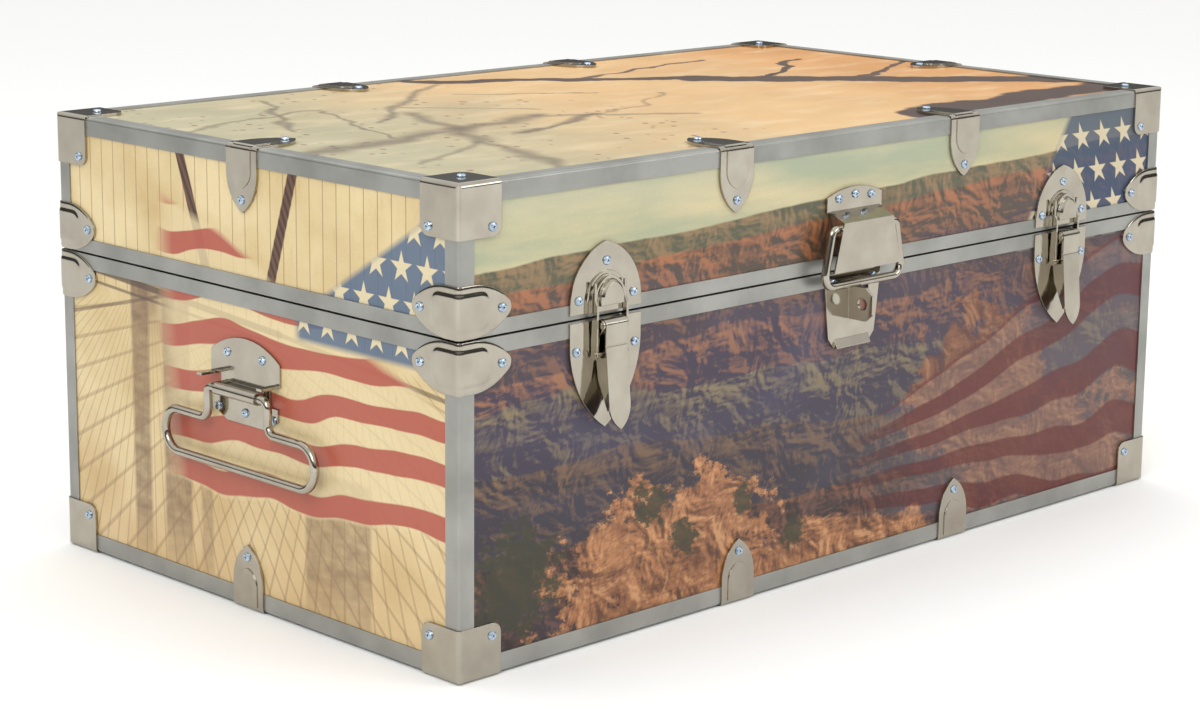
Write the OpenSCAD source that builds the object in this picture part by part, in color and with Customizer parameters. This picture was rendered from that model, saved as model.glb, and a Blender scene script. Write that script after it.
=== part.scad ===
// Footlocker: a plywood trunk with printed boards, aluminium edging, a tongue and groove
// closure, stamped and plated corner hardware, two draw latches, a padlock hasp with a
// pull loop, two drop handles, a stop hinged lid and a lift out tray.
// Frame: +Z up, front towards -Y, origin at the centre of the floor board's underside.

/* [Case] */
// Outside width over the edging
case_w = 812; // [600:1:1000]
// Outside depth over the edging
case_d = 472; // [380:1:600]
// Outside height over the edging
case_h = 349; // [290:1:460]
// Height of the base over the edging, up to the top of its rim
base_h = 241; // [190:1:300]
// Open line between the base rim and the lid rim
rim_gap = 1.6; // [1:0.1:3]
// Thickness of the plywood boards
ply_t = 9.5; // [6:0.5:15]

/* [Edging and rims] */
// Wall of the aluminium edging and rims
edge_t = 1.2; // [0.8:0.1:2]
// Leg of the edging on each face
edge_leg = 14; // [10:0.5:22]
// Radius along the outer line of the edging
edge_r = 2.4; // [1.5:0.1:4]
// Height of the lid rim's outer band
lid_band = 10.5; // [8:0.5:16]
// Height of the base rim's outer band
base_band = 11.5; // [8:0.5:16]
// Leg of both rims on the inside of the boards
inner_leg = 9; // [6:0.5:14]
// Height of the tongue above the base rim
tongue_h = 8; // [5:0.5:12]
// Gap between the tongue and the lid rim
tongue_clear = 0.8; // [0.6:0.1:2]
// Hairline at each mitred joint of the edging and rims
mitre_gap = 0.2; // [0.1:0.05:0.5]

/* [Stamped hardware] */
// Sheet thickness of caps, clamps and latch plates
sheet_t = 1.3; // [1:0.1:2]
// Height of the embossed panels above the sheet
emboss_h = 0.7; // [0.4:0.1:1]
// Leg of a corner cap on each face
cap_leg = 38; // [30:1:50]
// Distance of a cap's side rivets from the vertical corner
cap_rivet = 29.5; // [22:0.5:40]
// Distance of a cap's top or bottom rivet from both edges
cap_top_rivet = 22; // [15:0.5:30]
// Length of a rim clamp's lobe from the corner
lobe_len = 47; // [38:1:60]
// Height of a rim clamp
lobe_h = 37; // [30:1:46]
// Distance of a rim clamp's rivet from the corner
lobe_rivet = 38.5; // [30:0.5:52]
// Width of an edge clamp
clamp_w = 35.5; // [28:0.5:44]
// Length of an edge clamp's tongue on each face
clamp_len = 49; // [40:1:60]
// Distance of an edge clamp's rivet from the edge
clamp_rivet = 39.5; // [32:0.5:50]
// Distance of the long sides' upper edge clamps from the middle
clamp_x = 134; // [100:1:220]
// Distance of the long sides' lower edge clamps from their own middle
low_clamp_x = 130; // [100:1:220]
// How far the lower edge clamps' middle stands to the right of the side's middle
low_clamp_shift = 6; // [0:1:20]
// Radius of a screw or rivet shank
shank_r = 1.7; // [1.2:0.1:2.2]
// Radius of a screw or rivet head
head_r = 3.2; // [2.6:0.1:4]
// Height of a screw or rivet head
head_h = 1.7; // [1:0.1:2.5]
// Depth of a shank in the board
shank_in = 7; // [4:0.5:9]

/* [Draw latches] */
// Distance of each latch from the middle
latch_x = 268; // [200:1:320]
// Width of the latch plates
latch_w = 70; // [60:1:84]
// Height of the keeper plate on the lid
keeper_h = 50; // [46:1:70]
// Length of the latch base plate
latch_base_h = 79; // [74:1:100]
// Width of the lever
lever_w = 21; // [18:0.5:26]
// Radius of the latch pins
latch_pin_r = 1.6; // [1.2:0.1:2]
// Running clearance of pins and rods in their bores
run_clear = 0.06; // [0.03:0.01:0.1]
// Side gap between moving stampings
side_gap = 0.4; // [0.3:0.05:0.8]

/* [Hasp and padlock eye] */
// Width of the hasp plate
hasp_w = 64; // [56:1:76]
// Width of the hasp cover at its lower edge
cover_w = 78; // [66:1:80]
// How far the hasp cover stands out
cover_out = 16.5; // [14:0.5:20]
// Diameter of the loop's wire
loop_d = 6.4; // [5:0.2:7.2]
// Radius of the padlock eye
eye_r = 4.7; // [3.5:0.1:5.5]
// How far the padlock tab stands out
tab_out = 25; // [22:0.5:30]

/* [Handles] */
// Height of the handle's pivot above the floor board
handle_z = 165; // [130:1:200]
// Diameter of the handle's rod
rod_d = 6.6; // [5:0.2:8]
// How far the rod's centre stands out
rod_out = 8; // [6.5:0.5:12]
// Spacing of the handle's legs
leg_gap = 72; // [66:1:84]
// Overall width of the grip, between its rod centres
grip_w = 180; // [140:1:200]
// Drop of the grip below the pivot
grip_drop = 58; // [50:1:80]

/* [Hinges] */
// Distance of each hinge from the middle
hinge_x = 230; // [150:1:320]
// Width of a hinge
hinge_w = 64; // [48:1:90]
// Height of each hinge leaf
leaf_h = 44; // [30:1:60]
// Radius of the hinge pin
hinge_pin_r = 2.2; // [1.6:0.1:3]
// Outer radius of the hinge knuckle
knuckle_r = 4.6; // [4:0.1:6]

/* [Tray] */
// Height of the tray
tray_h = 76; // [50:1:80]
// Thickness of the tray's walls
tray_wall = 6; // [4:0.5:9]
// Thickness of the tray's bottom
tray_floor = 4; // [3:0.5:6]
// Gap between the tray and the tongue
tray_clear = 2.5; // [1.5:0.5:6]
// Width of the ledges that carry the tray
ledge_w = 14; // [11:1:20]
// Height of the ledges
ledge_h = 18; // [12:1:30]

/* [Hidden] */
$fn = 48;

// Heights
z_bot = -edge_t;
z_top = case_h - edge_t;
base_top = base_h - edge_t;
lid_bottom = base_top + rim_gap;
board_top = z_top - edge_t;
mitre = 40;
over = 0.5;

// Boards
in_face = edge_t + ply_t;
tongue_x = in_face + edge_t + tongue_clear;

// Draw latch, in the latch's own frame: X across, Y up from the base rim, Z outwards
keeper_z0 = 4.6;
keeper_side = 10;
hump_w = 35;
hump_h = 26;
hump_out = 4;
head_back = hump_out + side_gap;
head_out = 9.6;
pivot = [-4, 8];
link_pin = [-25.5, 5.4];
ear_t = 1.5;
lever_half = lever_w / 2;
ear_in = lever_half + side_gap;
arm_in = ear_in + ear_t + 1.3;
arm_t = 1.8;
blade_end = -79;
blade_kick = 5.5;
block_end = -19;

// Hasp
loop_r = loop_d / 2;
loop_z = 36;
loop_out = 11.5;
loop_top_half = 37;
loop_low_half = 45.5;
loop_drop = 44;
hasp_low = 47;
hasp_high = 65;
cover_top = 41;
cover_low = 3;
gusset_t = 1.8;

// Handles
rod_r = rod_d / 2;
sleeve_r = rod_r + run_clear + 1.5;
sleeve_len = leg_gap - 22;
plate_t = 1.8;
plate_up = 40;
plate_down = 25;

// Hinges
hinge_out = knuckle_r + 0.6;
hinge_z = (base_top + lid_bottom) / 2;
leaf_t = 1.8;
knuckle_gap = 0.4;

// Tray
tray_inset = tongue_x + edge_t + tray_clear;
tray_z = base_top - 2 - tray_h;
tray_w = case_w - 2 * tray_inset;
tray_d = case_d - 2 * tray_inset;
hand_w = 78;
hand_h = 22;

// Colours
alu = [0.56, 0.57, 0.56];
nickel = [0.66, 0.64, 0.60];
zinc = [0.66, 0.72, 0.78];
ply = [0.80, 0.68, 0.48];
print_end = [0.80, 0.72, 0.55];
print_front = [0.55, 0.42, 0.36];
print_top = [0.85, 0.72, 0.52];

function half(face) = (face % 2 == 0 ? case_d : case_w) / 2;
function reach(face) = (face % 2 == 0 ? case_w : case_d) / 2;
function clamp_spots(face, top) = face % 2 == 1 ? [0] : top ? [-clamp_x, clamp_x]
    : [low_clamp_shift - low_clamp_x, low_clamp_shift + low_clamp_x];

// Turns the front's frame to a side: 0 front, 1 right, 2 back, 3 left.
module side(face) {
    rotate([0, 0, 90 * face]) translate([0, -half(face), 0]) children();
}

// A side's own plane: X along the side, Y up, Z outwards from the edging's face.
module on_side(face) {
    side(face) rotate([90, 0, 0]) children();
}

// Screw sites: side 0 to 3, 4 top or 5 underside, two coordinates and the seat's height.
function side_sites(z_cap, z_clamp, z_edge, top) = [
    for (face = [0:3], s = [-1, 1]) each [
        [face, s * (reach(face) - cap_rivet), z_cap, sheet_t],
        [face, s * (reach(face) - lobe_rivet), z_clamp, sheet_t]
    ],
    for (face = [0:3], x = clamp_spots(face, top)) [face, x, z_edge, sheet_t]
];
function flat_sites(level, top) = [
    for (sx = [-1, 1], sy = [-1, 1])
        [level, sx * (case_w / 2 - cap_top_rivet), sy * (case_d / 2 - cap_top_rivet), sheet_t],
    for (x = clamp_spots(0, top), sy = [-1, 1])
        [level, -sy * x, sy * (case_d / 2 - clamp_rivet), sheet_t],
    for (sx = [-1, 1])
        [level, sx * (case_w / 2 - clamp_rivet), 0, sheet_t]
];
keeper_screws = [[0, 40.5], [-27, 14.5], [27, 14.5]];
latch_screws = [[-29, -22], [29, -22]];
hasp_screws = [[-19, 57], [0, 59], [19, 57]];
lock_screws = [[-24, -8], [24, -8]];
handle_screws = [[-21, 27], [21, 27], [-33, -16], [0, -16], [33, -16]];
leaf_screws = [[-22, 32], [22, 32], [0, 18]];
lid_sites = concat(
    side_sites(z_top - 31, lid_bottom + lobe_h / 2, z_top - clamp_rivet, true),
    flat_sites(4, true),
    [for (s = [-1, 1], p = keeper_screws) [0, s * latch_x + p[0], base_top + p[1], sheet_t]],
    [for (p = hasp_screws) [0, p[0], base_top + p[1], sheet_t]],
    [for (s = [-1, 1], p = leaf_screws) [2, s * hinge_x + p[0], hinge_z + p[1], leaf_t]]
);
base_sites = concat(
    side_sites(z_bot + 29, base_top - lobe_h / 2, z_bot + clamp_rivet, false),
    flat_sites(5, false),
    [for (s = [-1, 1], p = latch_screws) [0, s * latch_x + p[0], base_top + p[1], sheet_t]],
    [for (p = lock_screws) [0, p[0], base_top + p[1], sheet_t]],
    [for (face = [1, 3], p = handle_screws) [face, p[0], handle_z + p[1], plate_t - edge_t]],
    [for (s = [-1, 1], p = leaf_screws) [2, s * hinge_x + p[0], hinge_z - p[1], leaf_t]]
);

module at_site(site) {
    if (site[0] == 4)
        translate([site[1], site[2], z_top]) children();
    else if (site[0] == 5)
        translate([site[1], site[2], z_bot]) rotate([180, 0, 0]) children();
    else
        on_side(site[0]) translate([site[1], site[2], 0]) children();
}

module screw_holes(sites) {
    for (site = sites) at_site(site)
        translate([0, 0, -edge_t - shank_in]) cylinder(r = shank_r, h = shank_in + edge_t + site[3]);
}

// A pan head is a slice of a ball on a straight shank. Those underneath are flush rivets.
module screws(sites) {
    ball_r = (head_r * head_r + head_h * head_h) / (2 * head_h);
    for (site = sites) at_site(site) {
        translate([0, 0, -edge_t - shank_in])
            cylinder(r = shank_r, h = shank_in + edge_t + site[3]);
        if (site[0] != 5) translate([0, 0, site[3]]) intersection() {
            translate([0, 0, head_h - ball_r]) sphere(r = ball_r);
            cylinder(r = head_r, h = head_h);
        }
    }
}

// ---- Boards ----

module box_at(x0, x1, y0, y1, z0, z1) {
    translate([x0, y0, z0]) cube([x1 - x0, y1 - y0, z1 - z0]);
}

module flat_board(z0) {
    w = case_w / 2 - edge_t;
    d = case_d / 2 - edge_t;
    box_at(-w, w, -d, d, z0, z0 + ply_t);
}

// A wall board: the front and back run the full width, the ends stand between them.
module wall_board(face, z0, z1) {
    w = reach(face) - (face % 2 == 0 ? edge_t : in_face);
    side(face) box_at(-w, w, edge_t, in_face, z0, z1);
}

module base_wall(face) {
    difference() {
        wall_board(face, ply_t, base_top - edge_t);
        screw_holes(base_sites);
    }
}

module lid_wall(face) {
    difference() {
        wall_board(face, lid_bottom + edge_t, board_top - ply_t);
        screw_holes(lid_sites);
    }
}

module base_floor() color(ply) difference() { flat_board(0); screw_holes(base_sites); }
module base_front() color(print_front) base_wall(0);
module base_right() color(print_end) base_wall(1);
module base_back() color(print_front) base_wall(2);
module base_left() color(print_end) base_wall(3);
module lid_top() color(print_top) difference() { flat_board(board_top - ply_t); screw_holes(lid_sites); }
module lid_front() color(print_front) lid_wall(0);
module lid_right() color(print_end) lid_wall(1);
module lid_back() color(print_front) lid_wall(2);
module lid_left() color(print_end) lid_wall(3);

// ---- Edging and rims ----

// An angle with its outer line at the origin and its legs along +X and +Y.
module angle_profile() {
    difference() {
        union() {
            translate([edge_r, 0]) square([edge_leg - edge_r, edge_leg]);
            translate([0, edge_r]) square([edge_leg, edge_leg - edge_r]);
            translate([edge_r, edge_r]) circle(r = edge_r);
        }
        translate([edge_t, edge_t]) square(edge_leg);
    }
}

// A length along one side with mitred ends. The profile's X runs inwards and its Y up.
module mitred_run(face) {
    w = reach(face);
    side(face) intersection() {
        translate([-w, 0, 0]) rotate([90, 0, 90]) linear_extrude(2 * w) children();
        translate([0, 0, z_bot - over]) linear_extrude(case_h + 2 * over)
            polygon([
                [mitre_gap - w, 0], [w - mitre_gap, 0],
                [w - mitre_gap - mitre, mitre], [mitre + mitre_gap - w, mitre]
            ]);
    }
}

module corner_angles(z0, z1) {
    for (face = [0:3]) side(face) translate([-reach(face), 0, z0])
        linear_extrude(z1 - z0) angle_profile();
}

module base_bottom_edging() color(alu) difference() {
    for (face = [0:3]) mitred_run(face) translate([0, z_bot]) angle_profile();
    screw_holes(base_sites);
}

module lid_top_edging() color(alu) difference() {
    for (face = [0:3]) mitred_run(face) translate([0, z_top]) mirror([0, 1]) angle_profile();
    screw_holes(lid_sites);
}

module base_corner_edging() color(alu) corner_angles(z_bot + edge_leg, base_top - base_band);
module lid_corner_edging() color(alu) corner_angles(lid_bottom + lid_band, z_top - edge_leg);

// The base rim caps the boards and carries the tongue.
module base_rim_profile() {
    inner = in_face + edge_t;
    tongue = tongue_x + edge_t;
    polygon([
        [0, base_top - base_band], [edge_t, base_top - base_band],
        [edge_t, base_top - edge_t], [in_face, base_top - edge_t],
        [in_face, base_top - inner_leg], [inner, base_top - inner_leg],
        [inner, base_top - edge_t], [tongue, base_top - edge_t],
        [tongue, base_top + tongue_h], [tongue_x, base_top + tongue_h],
        [tongue_x, base_top], [0, base_top]
    ]);
}

module lid_rim_profile() {
    inner = in_face + edge_t;
    polygon([
        [0, lid_bottom], [inner, lid_bottom],
        [inner, lid_bottom + inner_leg], [in_face, lid_bottom + inner_leg],
        [in_face, lid_bottom + edge_t], [edge_t, lid_bottom + edge_t],
        [edge_t, lid_bottom + lid_band], [0, lid_bottom + lid_band]
    ]);
}

module base_rim() color(alu) difference() {
    for (face = [0:3]) mitred_run(face) base_rim_profile();
    screw_holes(base_sites);
}

module lid_rim() color(alu) difference() {
    for (face = [0:3]) mitred_run(face) lid_rim_profile();
    screw_holes(lid_sites);
}

// ---- Stamped hardware ----

// The room that edging and rims take between the boards' faces and the case's outside.
module edging_room() {
    w = case_w / 2;
    d = case_d / 2;
    base_lo = z_bot + edge_leg;
    base_hi = base_top - base_band;
    lid_lo = lid_bottom + lid_band;
    lid_hi = z_top - edge_leg;
    far = 2 * over;
    difference() {
        box_at(-w, w, -d, d, z_bot, z_top);
        box_at(edge_t - w, w - edge_t, edge_t - d, d - edge_t, 0, board_top);
        box_at(edge_leg - w, w - edge_leg, edge_leg - d, d - edge_leg, z_bot - far, z_top + far);
        for (z = [[base_lo, base_hi], [lid_lo, lid_hi]]) {
            box_at(edge_leg - w, w - edge_leg, -d - far, d + far, z[0], z[1]);
            box_at(-w - far, w + far, edge_leg - d, d - edge_leg, z[0], z[1]);
        }
    }
}

// A half lens: straight sides that close to a point over the height.
module pointed_end(w, h) {
    r = (h * h + w * w / 4) / w;
    intersection() {
        translate([w / 2 - r, 0]) circle(r = r);
        translate([r - w / 2, 0]) circle(r = r);
        translate([-w, 0]) square([2 * w, h + over]);
    }
}

module tongue(w, len, point) {
    translate([-w / 2, 0]) square([w, len - point]);
    translate([0, len - point]) pointed_end(w, point);
}

// Cuts a rounded line along a horizontal edge of the case, on a sheet laid over it.
module line_cut(r) {
    translate([-over, -over]) difference() {
        square(r + over);
        translate([r + over, r + over]) circle(r = r);
    }
}

// Rounds the four corner lines and the top or bottom lines of sheets laid over the case.
module rounded_lines(out, top) {
    r = edge_r + out;
    for (face = [0:3]) side(face) {
        translate([-reach(face) - out, -out, z_bot - 5]) linear_extrude(case_h + 10) line_cut(r);
        translate([-reach(face) - 5, 0, 0]) rotate([90, 0, 90]) linear_extrude(2 * reach(face) + 10)
            if (top)
                translate([-out, z_top + out]) mirror([0, 1]) line_cut(r);
            else
                translate([-out, z_bot - out]) line_cut(r);
    }
}

// One leg of a corner cap, square with a round ear at its far corner.
module cap_leg_outline(ear) {
    difference() {
        square(cap_leg + sheet_t);
        translate([cap_leg + sheet_t - ear, cap_leg + sheet_t - ear]) difference() {
            square(ear + over);
            circle(r = ear);
        }
    }
}

// The three legs of the cap at one corner, in a frame with the corner at the origin.
module cap_legs() {
    deep = edge_t + sheet_t;
    translate([-sheet_t, -sheet_t, -sheet_t]) {
        linear_extrude(deep) cap_leg_outline(9);
        rotate([90, 0, 90]) linear_extrude(deep) cap_leg_outline(8);
        mirror([0, 1, 0]) rotate([90, 0, 0]) linear_extrude(deep) cap_leg_outline(8);
    }
}

module corner_caps(top) {
    for (sx = [-1, 1], sy = [-1, 1])
        translate([sx * case_w / 2, sy * case_d / 2, top ? z_top : z_bot])
            mirror([sx > 0 ? 1 : 0, 0, 0]) mirror([0, sy > 0 ? 1 : 0, 0])
                mirror([0, 0, top ? 1 : 0]) cap_legs();
}

module base_corner_caps() color(nickel) difference() {
    corner_caps(false);
    edging_room();
    rounded_lines(sheet_t, false);
    screw_holes(base_sites);
}

module lid_corner_caps() color(nickel) difference() {
    corner_caps(true);
    edging_room();
    rounded_lines(sheet_t, true);
    screw_holes(lid_sites);
}

// A lobe of a rim clamp: it lies along +X from the corner, centred on Y.
module lobe_outline(len, h, end_r) {
    rotate(-90) intersection() {
        tongue(h, len + 6, h * 0.95);
        translate([-h, 0]) square([2 * h, len - end_r]);
    }
    translate([len - end_r - 0.2, 0]) circle(r = end_r);
}

module rim_lobes(z_mid, from, out, len, h, end_r) {
    for (face = [0:3], s = [0, 1])
        on_side(face) mirror([s, 0, 0])
            translate([-reach(face) - out, z_mid, from]) linear_extrude(out - from)
                lobe_outline(len + out, h, end_r);
}

module rim_clamps(z_mid, sites) {
    difference() {
        rim_lobes(z_mid, -edge_t, sheet_t, lobe_len, lobe_h, 10);
        edging_room();
        rounded_lines(sheet_t, true);
        screw_holes(sites);
    }
    difference() {
        rim_lobes(z_mid, sheet_t - 0.2, sheet_t + emboss_h, 26, 25, 9);
        rounded_lines(sheet_t + emboss_h, true);
        box_at(-case_w / 2 - sheet_t + 0.2, case_w / 2 + sheet_t - 0.2,
            -case_d / 2 - sheet_t + 0.2, case_d / 2 + sheet_t - 0.2, 0, case_h);
    }
}

module base_rim_clamps() color(nickel) rim_clamps(base_top - lobe_h / 2, base_sites);
module lid_rim_clamps() color(nickel) rim_clamps(lid_bottom + lobe_h / 2, lid_sites);

// The two tongues of an edge clamp, on the side and on the top or the underside.
module clamp_legs(top, from, out, w, len, point) {
    z_edge = top ? z_top + out : z_bot - out;
    for (face = [0:3], x = clamp_spots(face, top)) side(face) {
        translate([x, -from, z_edge]) rotate([90, 0, 0]) mirror([0, top ? 1 : 0, 0])
            linear_extrude(out - from) tongue(w, len + out, point);
        translate([x, -out, top ? z_top + from : z_bot - out]) linear_extrude(out - from)
            tongue(w, len + out, point);
    }
}

// The embossed panel of an edge clamp. The foot under the base stays flat.
module clamp_emboss(top) {
    difference() {
        clamp_legs(top, sheet_t - 0.2, sheet_t + emboss_h, clamp_w - 13, clamp_len - 18, 14);
        rounded_lines(sheet_t + emboss_h, top);
        if (!top) box_at(-case_w, case_w, -case_d, case_d, -case_h, z_bot + edge_r);
    }
}

module edge_clamps(top, sites) {
    difference() {
        clamp_legs(top, -edge_t, sheet_t, clamp_w, clamp_len, 30);
        edging_room();
        rounded_lines(sheet_t, top);
        screw_holes(sites);
    }
    clamp_emboss(top);
}

module base_edge_clamps() color(nickel) edge_clamps(false, base_sites);
module lid_edge_clamps() color(nickel) edge_clamps(true, lid_sites);

module base_screws() color(zinc) screws(base_sites);
module lid_screws() color(zinc) screws(lid_sites);

// ---- Draw latches ----

// The latch's frame: X across, Y up from the base rim's top, Z outwards.
module at_latch(s) {
    on_side(0) translate([s * latch_x, base_top, 0]) children();
}

// Profiles are drawn with X up and Y outwards and run across the latch.
module run_across(x0, x1) {
    translate([x0, 0, 0]) rotate([0, 90, 0]) rotate([0, 0, 90]) linear_extrude(x1 - x0) children();
}

// The lid's plate: an arched sheet with a stepped hump that the latch's head lies on.
module keeper(s) {
    straight = 6;
    color(nickel) difference() {
        union() {
            at_latch(s) translate([0, keeper_z0, -edge_t]) linear_extrude(edge_t + sheet_t)
                tongue(latch_w, keeper_h, keeper_h - straight);
            at_latch(s) translate([0, keeper_z0, 0]) linear_extrude((hump_out + sheet_t) / 2)
                tongue(hump_w + 6, hump_h + 3, 22);
            at_latch(s) translate([0, keeper_z0, 0]) linear_extrude(hump_out)
                tongue(hump_w, hump_h, 19);
        }
        edging_room();
        screw_holes(lid_sites);
    }
}

// The base's plate: it tapers down to a point and carries the lever between two ears.
module latch_base(s) {
    color(nickel) difference() {
        union() {
            at_latch(s) translate([0, -1.2, -edge_t]) mirror([0, 1, 0]) linear_extrude(edge_t + sheet_t)
                tongue(latch_w, latch_base_h, 64);
            at_latch(s) for (x = [-ear_in - ear_t, ear_in]) run_across(x, x + ear_t) ear_profile();
        }
        edging_room();
        at_latch(s) run_across(-ear_in - 3, ear_in + 3) translate(pivot) circle(r = latch_pin_r);
        screw_holes(base_sites);
    }
}

module ear_profile() {
    translate(pivot) circle(r = 4.2);
    translate([pivot[0] - 10, sheet_t - 0.3]) square([12, 4]);
    polygon([
        [pivot[0] + 4.2, sheet_t - 0.3], [pivot[0] + 4.2, pivot[1]],
        [pivot[0] - 3, pivot[1] + 2.9], [pivot[0] - 10, sheet_t + 3.7], [pivot[0] - 10, sheet_t - 0.3]
    ]);
}

module latch_pivot_pins() color(nickel) for (s = [-1, 1]) at_latch(s) {
    w = ear_in + ear_t;
    run_across(-w, w) translate(pivot) circle(r = latch_pin_r);
    for (x = [-w - 0.6, w]) run_across(x, x + 0.6) translate(pivot) circle(r = latch_pin_r + 0.9);
}

// The lever: a channel with a rolled top, a square block and a blade that kicks outwards.
module lever_side() {
    face = pivot[1] + 4.6;
    difference() {
        union() {
            translate(pivot) circle(r = 4.6);
            polygon([
                [pivot[0], face], [block_end, face], [blade_end + 14, face + blade_kick - 2],
                [blade_end + 14, face + blade_kick - 4], [-44, 4.6], [-30, 2.4],
                [-18, 2.4], [pivot[0], pivot[1] - 4.6]
            ]);
        }
        translate(pivot) circle(r = latch_pin_r + run_clear);
    }
}

module lever_face() {
    face = pivot[1] + 4.6;
    t = 1.5;
    polygon([
        [pivot[0], face], [block_end, face], [blade_end, face + blade_kick],
        [blade_end, face + blade_kick - t], [block_end, face - t], [pivot[0], face - t]
    ]);
}

module latch_lever(s) color(nickel) at_latch(s) difference() {
    union() {
        for (x = [-lever_half, lever_half - 1.6]) run_across(x, x + 1.6) lever_side();
        intersection() {
            run_across(-lever_half, lever_half) lever_face();
            translate([0, pivot[0] + 8, 0]) mirror([0, 1, 0]) linear_extrude(40)
                tongue(lever_w, pivot[0] + 8 - blade_end, 18);
        }
        run_across(-lever_half, lever_half) difference() {
            translate(pivot) circle(r = 4.6);
            translate(pivot) circle(r = latch_pin_r + run_clear);
        }
    }
    run_across(-lever_half - 1, lever_half + 1) translate(link_pin) circle(r = latch_pin_r);
    translate([-lever_half - 1, block_end - 0.5, pivot[1] + 3.9]) cube([lever_w + 2, 1, 3]);
}

module latch_link_pin(s) color(nickel) at_latch(s) {
    w = arm_in + arm_t;
    run_across(-w, w) translate(link_pin) circle(r = latch_pin_r);
    for (x = [-w - 0.7, w]) run_across(x, x + 0.7) translate(link_pin) circle(r = latch_pin_r + 1);
}

// The link: a domed head in front of the keeper's hump, on two arms that end in eyes.
module link_arm() {
    difference() {
        union() {
            translate(link_pin) circle(r = 3.4);
            polygon([
                [link_pin[0], 2.2], [link_pin[0], 8.2], [10, 8.2], [14, head_back + 1.5],
                [26, head_back + 1.5], [26, head_back], [4, head_back], [1, 3], [link_pin[0] + 6, 2.2]
            ]);
        }
        translate(link_pin) circle(r = latch_pin_r + run_clear);
    }
}

module latch_link(s) color(nickel) at_latch(s) {
    w = arm_in + arm_t;
    for (x = [-w, arm_in]) run_across(x, x + arm_t) link_arm();
    translate([0, 9, head_back]) linear_extrude(1.5) tongue(2 * w, 22, 19);
    translate([0, 9.5, head_back]) hull() {
        linear_extrude(1.6) tongue(lever_w + 3, 19, 14);
        translate([0, 0.8, head_out - head_back - 0.6]) linear_extrude(0.6) tongue(lever_w - 2, 16, 12);
        translate([0, 0.3, 3.4]) linear_extrude(0.3) tongue(lever_w + 1.5, 18, 13.4);
    }
}

module left_keeper() keeper(-1);
module right_keeper() keeper(1);
module left_latch_base() latch_base(-1);
module right_latch_base() latch_base(1);
module left_latch_lever() latch_lever(-1);
module right_latch_lever() latch_lever(1);
module left_latch_link_pin() latch_link_pin(-1);
module right_latch_link_pin() latch_link_pin(1);
module left_latch_link() latch_link(-1);
module right_latch_link() latch_link(1);

// ---- Bent rods ----

function unit(v) = v / norm(v);

// A closed rod through the corners in the XY plane, with a bend radius at each corner.
// The straights run a little way into the bends, which are swollen by a hair.
module closed_rod(corners, bends, r) {
    swell = 0.03;
    tuck = 0.4;
    n = len(corners);
    trims = [for (i = [0:n - 1])
        let (a = unit(corners[(i + n - 1) % n] - corners[i]), b = unit(corners[(i + 1) % n] - corners[i]))
        bends[i] / tan(acos(a * b) / 2)];
    for (i = [0:n - 1]) {
        here = corners[i];
        next = corners[(i + 1) % n];
        to_next = unit(next - here);
        to_last = unit(corners[(i + n - 1) % n] - here);
        start = here + to_next * trims[i];
        run = norm(next - here) - trims[i] - trims[(i + 1) % n];
        translate(start - to_next * tuck) rotate([0, 90, atan2(to_next[1], to_next[0])])
            cylinder(r = r, h = run + 2 * tuck);
        open = acos(to_next * to_last);
        mid = unit(to_next + to_last);
        turn = to_last[0] * to_next[1] - to_last[1] * to_next[0];
        centre = here + mid * bends[i] / sin(open / 2);
        first = atan2(-mid[1], -mid[0]) - (180 - open) / 2;
        translate(centre) rotate([0, 0, first]) rotate_extrude(angle = 180 - open)
            translate([bends[i], 0]) circle(r = r + swell);
    }
}

// ---- Hasp ----

module at_hasp() {
    on_side(0) translate([0, base_top, 0]) children();
}

// The lid's hasp plate: it steps out to a cover over the closure, with an ear at each side
// for the loop's wire.
module hasp_plate() color(nickel) difference() {
    union() {
        at_hasp() translate([0, hasp_low, -edge_t]) linear_extrude(edge_t + sheet_t) intersection() {
            translate([-hasp_w / 2, 0]) square([hasp_w, hasp_high - hasp_low + 2]);
            translate([0, hasp_high - hasp_low - 80]) circle(r = 80);
        }
        at_hasp() run_across(-hasp_w / 2 + 3, hasp_w / 2 - 3) polygon([
            [hasp_low + 1, 0], [hasp_low + 1, sheet_t], [cover_top, cover_out],
            [cover_top - 1, cover_out], [cover_top - 1, cover_out - sheet_t],
            [cover_top, cover_out - sheet_t], [hasp_low - 1, 0]
        ]);
        at_hasp() translate([0, 0, cover_out - sheet_t]) linear_extrude(sheet_t) polygon([
            [-cover_w / 2, cover_low], [cover_w / 2, cover_low],
            [hasp_w / 2 - 3, cover_top], [3 - hasp_w / 2, cover_top]
        ]);
        at_hasp() for (x = [3 - hasp_w / 2, hasp_w / 2 - 3 - gusset_t])
            run_across(x, x + gusset_t) polygon([
                [hasp_low, 0], [cover_top, cover_out - 0.2], [loop_z - 6, cover_out - 0.2],
                [loop_z - 6, loop_out - 4], [loop_z + 4, 0.2 + sheet_t], [hasp_low, sheet_t]
            ]);
    }
    edging_room();
    at_hasp() run_across(-hasp_w, hasp_w) translate([loop_z, loop_out])
        circle(r = loop_r + run_clear);
    screw_holes(lid_sites);
}

module lock_loop() color(nickel) at_hasp() translate([0, 0, loop_out])
    closed_rod([
        [-loop_top_half, loop_z], [loop_top_half, loop_z],
        [loop_low_half + 1, loop_z - loop_drop], [-loop_low_half - 1, loop_z - loop_drop]
    ], [5, 5, 9, 9], loop_r);

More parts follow.
